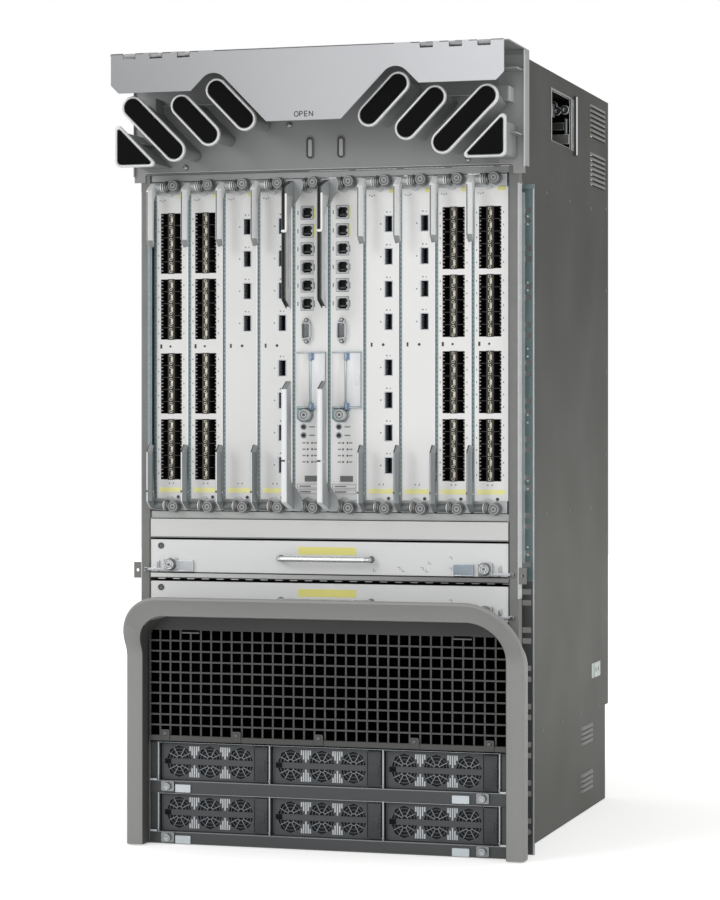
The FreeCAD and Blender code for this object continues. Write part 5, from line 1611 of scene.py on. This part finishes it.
def addGrilleTabs():
    # tabs with a screw each along the foot of the grille, and the catch at its top
    bm = bmesh.new()
    low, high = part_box("intake_grille")
    foot, front = low.z / mm, low.y / mm - frontY
    top = high.z / mm
    addBox(bm, (low.x / mm + 2, front - 0.4, foot + 0.1), (high.x / mm - 2, front + 0.2, foot + 1.7), 3)
    for x in (-199.0, -109.3, -7.3, 109.3, 199.0):
        tab = plateOutline(x - 5.6, foot + 2, x + 5.6, foot + 15, [0.5, 0.5, 2, 2], 3)
        addPull(bm, tab, "y", front - 1.2, front + 0.4)
        addTurned(bm, "y", x, foot + 10.5, [(2.6, front), (2.6, front - 1.8), (2.0, front - 2.4),
            (0.1, front - 2.4)], 18, 1)
    for x in (-167.0, 167.0):
        addBox(bm, (x - 11, front - 0.5, top - 21.0), (x + 11, front + 0.2, top - 19.4), 2)
        addBox(bm, (x - 10.4, front - 0.3, top - 19.4), (x + 10.4, front + 0.2, top - 16.6), 3)
    makePiece("grille_tabs", bm, ["grillePaint", "shadowSteel", "louvrePaint", "pocketDark"], "chassis",
        bevel=0.1, angle=40)


addTrayFittings()
addGrilleTabs()
print("power bay ready")


# hood fittings: hinge barrels, door wording, edge folds, upright slots, shelves and screws

hoodSet = {"barrel": 2.3, "hingeY": -84.7, "hingeDrop": 3.0, "knuckle": 14.0, "edge": 1.0, "slotX": 19.0,
    "slotUp": 27.0, "slotHalf": 8.5, "slotRadius": 4.0, "screws": ((-174.5, 7.8, 3.3), (172.5, 7.8, 3.3),
    (-44.5, 54.5, 3.4), (76.4, 60.0, 2.6)), "ledgeUp": 81.4, "ledge": (62.0, 214.0), "wordX": 0.6,
    "wordUp": 54.6, "capHeight": 5.6, "letterWidth": 4.4, "letterGap": 1.45, "stroke": 1.05,
    "tabs": (-186.0, -152.0, -118.0, 118.0, 152.0, 186.0), "tabHalf": 9.5}


def addHinges():
    s = hoodSet
    bm = bmesh.new()
    z = topZ - s["hingeDrop"]
    r = s["barrel"]
    for side in (-1, 1):
        for inset in doorSet["knuckleInsets"]:
            x = side * (halfRack - inset)
            half = s["knuckle"] / 2
            addTurned(bm, "x", s["hingeY"], z, [(r - 0.4, x - half), (r, x - half + 0.4),
                (r, x + half - 0.4), (r - 0.4, x + half)], 24, 0)
            # dark block in the notch behind each barrel: painted shade
            addBox(bm, (x - half - 0.2, s["hingeY"] + 0.6, z - r), (x + half + 0.2, s["hingeY"] + 3.0,
                topZ - 0.1), 1)
    makePiece("hood_hinge_barrels", bm, ["hingeGrey", "shadowSteel"], "chassis", angle=40)


def addDoorWord():
    # plain word in strokes on the door's tab
    s = hoodSet
    bm = bmesh.new()
    h, w, gap = s["capHeight"], s["letterWidth"], s["letterGap"]
    z0 = hoodFoot + s["wordUp"]
    start = s["wordX"] - 2 * w - 1.5 * gap
    turns = [2 * math.pi * k / 24 for k in range(24)]
    letters = {
        "O": [("loop", [(w / 2 + (w / 2 + 0.2) * math.cos(t), h / 2 + h / 2 * math.sin(t)) for t in turns])],
        "P": [("line", [(0.3, 0), (0.3, h)]),
            ("line", [(0.3, h)] + arc(w * 0.5, h * 0.73, h * 0.27, 90, -90, 8) + [(0.3, h * 0.46)])],
        "E": [("line", [(w * 0.9, h), (0.4, h)]), ("line", [(0.4, h + 0.4), (0.4, -0.4)]),
            ("line", [(0.4, h / 2), (w * 0.8, h / 2)]),
              ("line", [(0.4, 0), (w * 0.9, 0)])],
        "N": [("line", [(0.2, 0), (0.2, h)]), ("line", [(0.2, h), (w, 0)]), ("line", [(w, 0), (w, h)])],
    }
    face = -doorSet["reach"]
    for place, letter in enumerate("OPEN"):
        x0 = start + place * (w + gap)
        for kind, path in letters[letter]:
            addStripe(bm, [(x0 + u, z0 + v) for u, v in path], s["stroke"], face - 0.12, face + 0.3, 0,
                closed=kind == "loop")
    # dark line along the hinge edge, between the notches
    ends = [-(halfRack - doorSet["inset"]) + 0.6]
    for x in sorted(side * (halfRack - inset) for side in (-1, 1) for inset in doorSet["knuckleInsets"]):
        ends += [x - doorSet["notchWidth"] / 2 - 0.4, x + doorSet["notchWidth"] / 2 + 0.4]
    ends.append(halfRack - doorSet["inset"] - 0.6)
    lines = list(zip(ends[::2], ends[1::2]))
    # kept clear of the solid hinge tabs that the open door turns past
    clear = s["tabHalf"]
    for tab in s["tabs"]:
        cut = [part for a, b in lines for part in ((a, min(b, tab - clear)), (max(a, tab + clear), b))]
        lines = [(a, b) for a, b in cut if b - a > 0.5]
    for x0, x1 in lines:
        addPrint(bm, (x0, topZ - 1.3), (x1, topZ - 0.45), face, 1)
    makePiece("hood_door_word", bm, ["wordInk", "slotShadow"], "hood_door")


def addHoodFittings():
    s = hoodSet
    bm = bmesh.new()
    plate = -1.5
    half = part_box("hood_panel")[1].x / mm
    for side in (-1, 1):
        x = side * half
        addBox(bm, (x, plate - 4.5, hoodFoot - 2), (x - side * s["edge"], plate, topZ - 2))
        # folded ledge behind the guides, bracket box and a small shelf by the side wall
        x0, x1 = [side * place for place in s["ledge"]]
        addBox(bm, (x0, plate - 2.6, hoodFoot + s["ledgeUp"]), (x1, plate, hoodFoot + s["ledgeUp"] + 1.3))
        x0, x1 = side * 203.0, side * 226.0
        addBox(bm, (x0, plate - 26, hoodFoot + 72), (x1, plate, hoodFoot + 88.5), 1)
        addBox(bm, (x1, plate - 26, hoodFoot + 72), (x1 + side * 1.6, plate, hoodFoot + 88.5))
        x0, x1 = side * 214.0, side * (half - 2)
        addBox(bm, (x0, plate - 34, hoodFoot + 33.5), (x1, plate, hoodFoot + 35.2), 1)
        addBox(bm, (x0, plate - 30, hoodFoot + 108), (x1, plate, hoodFoot + 109.6), 1)
        # upright slots
        x = side * s["slotX"]
        z = hoodFoot + s["slotUp"]
        ends = ((x, z - s["slotHalf"]), (x, z + s["slotHalf"]))
        addPull(bm, stadium(ends, s["slotRadius"] + 0.5, 10), "y", plate - 2.3, plate, 2)
        addPull(bm, stadium(((x + 0.6, z - 8.2), (x + 0.6, z + 7.6)), 2.2, 10), "y", plate - 2.9, plate, 4)
    for x, up, r in s["screws"]:
        addTurned(bm, "y", x, hoodFoot + up, [(r, plate), (r, plate - 1.2), (r * 0.8, plate - 2.4),
            (r * 0.4, plate - 3.0), (0.1, plate - 3.1)], 22, 3)
    # dark joint line and light fold along the foot
    addBox(bm, (-half + 15, plate - 0.5, hoodFoot + 0.4), (half - 15, plate, hoodFoot + 1.6), 2)
    addBox(bm, (-half + 15, plate - 0.9, hoodFoot + 2.0), (half - 15, plate, hoodFoot + 2.9))
    makePiece("hood_fittings", bm, ["hoodEdge", "hoodPaint", "slotShadow", "greySteel", "slotInsert"],
        "chassis", bevel=0.2, segments=1, angle=40)


addHinges()
addDoorWord()
addHoodFittings()
print("hood fittings ready")


# sides: ear edges with rivets, louvre lips, lift pocket and small fasteners

sideSet = {"body": 222.25, "earY": 40.0, "earTop": 775.0, "edge": 1.6, "band": (226.5, 230.2),
    "rivetPitch": 77.0, "louvreY": 446.0, "louvreLength": 94.0, "louvrePitch": 6.4, "louvreSlot": 3.2,
    "louvreRows": 7, "louvreDrops": (56.5, 119.5), "ventY": 388.0, "ventLength": 69.0, "ventRows": 4,
    "ventHeights": (26.0, 87.0), "lip": 2.2, "pocketY": (216.0, 324.0), "pocketZ": (848.95, 911.95),
    "pocketX": 196.25, "flangeX": 231.9, "fastenerRows": ((60, 130, 4, 783.0), (60, 130, 4, 392.0),
    (60, 110, 5, 130.0)), "fastenerColumns": ((30.0, 860.0, 95, 9), (548.0, 790.0, 110, 6))}


def addEarEdges():
    bm = bmesh.new()
    s = sideSet
    for side in (-1, 1):
        x0, x1 = side * (halfRack - s["edge"]), side * halfRack
        addBox(bm, (x0, s["earY"] - 0.5, 0.5), (x1, s["earY"] + 2.2, s["earTop"]))
        x0, x1 = [side * place for place in s["band"]]
        addBox(bm, (x0, s["earY"] - 0.6, 340), (x1, s["earY"] + 0.5, s["earTop"] - 4))
        x0, x1 = side * (s["flangeX"] - 0.8), side * (s["flangeX"] + 0.2)
        addBox(bm, (x0, -0.15, 300), (x1, 16.8, s["earTop"] + 4), 2)
        x0, x1 = side * (s["body"] + 0.3), side * halfRack
        addBox(bm, (x0, s["earY"], s["earTop"] - 0.5), (x1, s["earY"] + 1.6, s["earTop"] + 5.5), 3)
        for k in range(6):
            z = s["earTop"] - 32 - k * s["rivetPitch"]
            for drop in (0, 9):
                addTurned(bm, "y", side * 233.2, z - drop, [(1.3, s["earY"]), (1.3, s["earY"] - 0.7),
                    (0.8, s["earY"] - 1.1), (0.1, s["earY"] - 1.2)], 14, 1)
    makePiece("ear_edges", bm, ["earEdge", "plateSteel", "hoodEdge", "gasketMesh"], "chassis",
        angle=40)


def addLips():
    # pressed lips over the air slots of both side walls
    bm = bmesh.new()
    s = sideSet
    groups = [(s["louvreY"], s["louvreLength"], topZ - drop, s["louvreRows"]) for drop in s["louvreDrops"]]
    groups += [(s["ventY"], s["ventLength"], height, s["ventRows"]) for height in s["ventHeights"]]
    for side in (-1, 1):
        for y, length, z0, rows in groups:
            for row in range(rows):
                z = z0 + row * s["louvrePitch"]
                steps = 8
                rings = []
                for step in range(13):
                    share = step / 12
                    bulge = s["lip"] if 0 < step < 12 else 0.0
                    place = y - 2 + share * (length + 4)
                    ring = []
                    for k in range(steps + 1):
                        turn = math.pi / 2 * k / steps
                        ring.append((s["body"] - 0.2 + (bulge + 0.2) * math.cos(turn),
                            z + 0.2 + (s["louvreSlot"] + 1.0) * math.sin(turn)))
                    ring += [(s["body"] - 0.2, z + s["louvreSlot"] + 0.2),
                        (s["body"] + max(bulge - 0.8, 0.0), z + 0.2)]
                    rings.append([bm.verts.new(spot(side * u, place, v)) for u, v in ring])
                joinRings(bm, rings)
    makePiece("side_louvre_lips", bm, ["louvrePaint"], "chassis", angle=40)


def addPockets():
    # lift pockets: dark pan standing in for the shade inside (painted shade), ledges, parts seen inside,
    # pressed rim and catch strip
    s = sideSet
    (y0, y1), (z0, z1) = s["pocketY"], s["pocketZ"]
    bm = bmesh.new()
    for side in (-1, 1):
        def box(xa, xb, ya, yb, za, zb, finish):
            addBox(bm, (side * xa, ya, za), (side * xb, yb, zb), finish)
        deep = s["pocketX"]
        # dark plates on the deep wall, the end wall and the ceiling: painted shade inside the pocket
        box(deep, deep + 0.8, y0 + 0.2, y1 - 0.2, z0 + 0.2, z1 - 0.2, 1)
        outer = s["body"] - 0.6
        box(deep, outer, y1 - 1.4, y1 - 0.4, z0 + 0.4, z1 - 0.4, 1)
        box(deep, outer, y0 + 0.4, y1 - 0.4, z1 - 1.2, z1 - 0.4, 1)
        box(deep, outer, y0 + 0.4, y1 - 0.4, z0 + 0.4, z0 + 1.0, 3)
        box(deep + 3, outer, y1 - 6, y1 - 1.2, z0 + 6, z0 + 18, 2)
        box(outer - 5.6, outer - 3.0, y1 - 5, y1 - 1.2, z0 + 18, z0 + 38, 2)
        box(deep + 2, outer - 7, y1 - 4, y1 - 1.2, z0 + 24, z0 + 33, 3)
        for x, z in ((206.0, z1 - 15.0), (216.0, z1 - 14.0), (201.0, z1 - 8.0)):
            addTurned(bm, "y", side * x, z, [(6.2, y1 - 1.2), (6.2, y1 - 5.0), (5.4, y1 - 6.0),
                (2.0, y1 - 6.0), (1.6, y1 - 4.0), (0.1, y1 - 4.0)], 24, 3)
        box(s["body"] - 0.2, s["body"] + 0.6, y1 + 3, 344.8, z0 - 1, z1 + 1, 2)
        for k in range(4):
            box(deep, deep + 8 + 3 * (k % 2), y0 + 10 + k * 21, y0 + 22 + k * 21, z0 + 38,
                z1 - 5 - 4 * (k % 2), 3)
        for k in range(3):
            box(deep, deep + 6, y0 + 12 + k * 24, y0 + 26 + k * 24, z0 + 14, z0 + 27, 3)
        # pressed rim round the pocket
        for ya, yb, za, zb in ((y0 - 2.5, y1 + 2.5, z1, z1 + 2.0), (y0 - 2.5, y0, z0, z1)):
            box(s["body"] - 0.2, s["body"] + 0.7, ya, yb, za, zb, 4)
        # bright catch strip with rivets
        box(s["body"] + 2.6, s["body"] + 3.3, 345.2, 352.8, z0 - 5.6, z1 + 5.6, 0)
        for z in (z0 + 6, (z0 + z1) / 2, z1 - 6):
            addTurned(bm, "x", 338.5, z, [(2.4, side * (s["body"] - 0.2)), (2.4, side * (s["body"] + 0.7)),
                (1.4, side * (s["body"] + 1.3)), (0.1, side * (s["body"] + 1.4))], 14, 2)
    makePiece("lift_pocket_shade_and_parts", bm, ["earEdge", "pocketDark", "louvrePaint", "pocketParts",
        "rivetPaint"], "chassis", bevel=0.3, segments=1, angle=40)


def addSideFasteners():
    # flat rivets and countersunk screws of the side walls
    bm = bmesh.new()
    s = sideSet
    spots = [(y + pitch * k, z) for y, pitch, count, z in s["fastenerRows"] for k in range(count)]
    spots += [(y, z - pitch * k) for y, z, pitch, count in s["fastenerColumns"] for k in range(count)]
    for side in (-1, 1):
        for y, z in spots:
            x = side * s["body"]
            addTurned(bm, "x", y, z, [(2.1, x - side * 0.3), (2.1, x + side * 0.15), (1.5, x + side * 0.3),
                (0.1, x + side * 0.35)], 16, 0)
    makePiece("side_wall_rivets", bm, ["rivetPaint"], "chassis", angle=40)


addEarEdges()
addLips()
addPockets()
addSideFasteners()
print("sides ready")


# rear: mesh in the exhaust windows, panel screws and inlet pins

rearSet = {"depth": 562.5, "foot": 542.0, "margin": 20.0, "bar": 10.0, "columns": 6, "rows": 2,
    "drop": 40.0, "height": 240.0, "half": 220.65, "wire": 0.8, "pitch": 7.2, "inletZ": (37.9, 98.9),
    "inletPitch": 139.8, "pinY": (526.6, 540.0)}


def addRear():
    r = rearSet
    bm = bmesh.new()
    span = 2 * (r["half"] - r["margin"])
    width = (span - r["bar"] * (r["columns"] - 1)) / r["columns"]
    height = (r["height"] - r["bar"] * (r["rows"] - 1)) / r["rows"]
    back = r["depth"] - 1.2
    for column in range(r["columns"]):
        for row in range(r["rows"]):
            x0 = -span / 2 + column * (width + r["bar"])
            z0 = topZ - r["drop"] - r["height"] + row * (height + r["bar"])
            across = int(width / r["pitch"])
            up = int(height / r["pitch"])
            for k in range(1, across):
                x = x0 + width * k / across
                addBox(bm, (x - r["wire"] / 2, back - 0.8, z0 - 0.2), (x + r["wire"] / 2, back,
                    z0 + height + 0.2))
            for k in range(1, up):
                z = z0 + height * k / up
                addBox(bm, (x0 - 0.2, back, z - r["wire"] / 2), (x0 + width + 0.2, back + 0.8,
                    z + r["wire"] / 2))
    makePiece("rear_window_mesh", bm, ["shadowSteel"], "chassis", angle=40)
    bm = bmesh.new()
    for z in r["inletZ"]:
        for column in (-1, 0, 1):
            x = column * r["inletPitch"]
            for dx, dz in ((-7.0, -2.5), (7.0, -2.5), (0.0, 3.2)):
                addBox(bm, (x + dx - 1.0, r["pinY"][0], z + dz - 3.0), (x + dx + 1.0, r["pinY"][1],
                    z + dz + 3.0))
            for side in (-1, 1):
                addTurned(bm, "y", x + side * 22.2, z, [(1.9, r["foot"] + 1.4), (1.9, r["foot"] + 2.2),
                    (1.2, r["foot"] + 2.9), (0.1, r["foot"] + 3.0)], 16, 1)
    for x in (-212.0, -106.0, 0.0, 106.0, 212.0):
        for z in (135.0, 380.0, topZ - 12.0):
            addTurned(bm, "y", x, z, [(3.0, r["depth"] - 0.1), (3.0, r["depth"] + 0.5),
                (2.2, r["depth"] + 0.9), (0.1, r["depth"] + 1.0)], 18, 1)
    makePiece("rear_fasteners", bm, ["brassPin", "greySteel"], "chassis", angle=40)


addRear()
print("rear ready")


# parts on the card boards, seen when a card is pulled out

boardSet = {"front": 44.0, "back": 470.0, "chips": ((0.16, 0.8, 44, 5.0), (0.16, 0.5, 44, 5.0),
    (0.16, 0.2, 44, 5.0), (0.5, 0.72, 56, 13.0), (0.5, 0.3, 56, 13.0), (0.8, 0.85, 30, 4.0),
    (0.8, 0.6, 30, 4.0), (0.8, 0.38, 30, 4.0), (0.8, 0.14, 30, 4.0))}


def addBoardParts(number):
    left, right, foot, top = cardBox(number)
    face = left + cardSet["boardInset"] + cardSet["boardSheet"]
    bm = bmesh.new()
    for along, up, size, tall in boardSet["chips"]:
        y = boardSet["front"] + along * (boardSet["back"] - boardSet["front"])
        z = foot + up * (top - foot)
        half = size / 2
        addBox(bm, (face - 0.1, y - half, z - half), (face + 2.4, y + half, z + half))
        if tall > 10:
            fins = 12
            for k in range(fins):
                place = y - half + 1.5 + k * (size - 3) / (fins - 1)
                addBox(bm, (face + 2.4, place - 0.6, z - half + 1), (face + tall, place + 0.6,
                    z + half - 1), 1)
            addBox(bm, (face + 2.3, y - half + 0.6, z - half + 0.6), (face + 4.4, y + half - 0.6,
                z + half - 0.6), 1)
        else:
            addBox(bm, (face + 2.3, y - half * 0.7, z - half * 0.7), (face + tall - 1.4, y + half * 0.7,
                z + half * 0.7), 2)
    for k in range(26):
        y = boardSet["front"] + 14 + (k * 61) % 400
        z = foot + 14 + (k * 97) % int(top - foot - 28)
        addBox(bm, (face - 0.1, y, z), (face + 1.5, y + 6, z + 3.2), 3)
    name = "card_%02d" % number
    makePiece(name + "_board_parts", bm, ["blackPlastic", "shadowSteel", "pocketParts", "brassPin"], name,
        bevel=0.2, segments=1)


for number in cards:
    addBoardParts(number)
print("board parts ready")
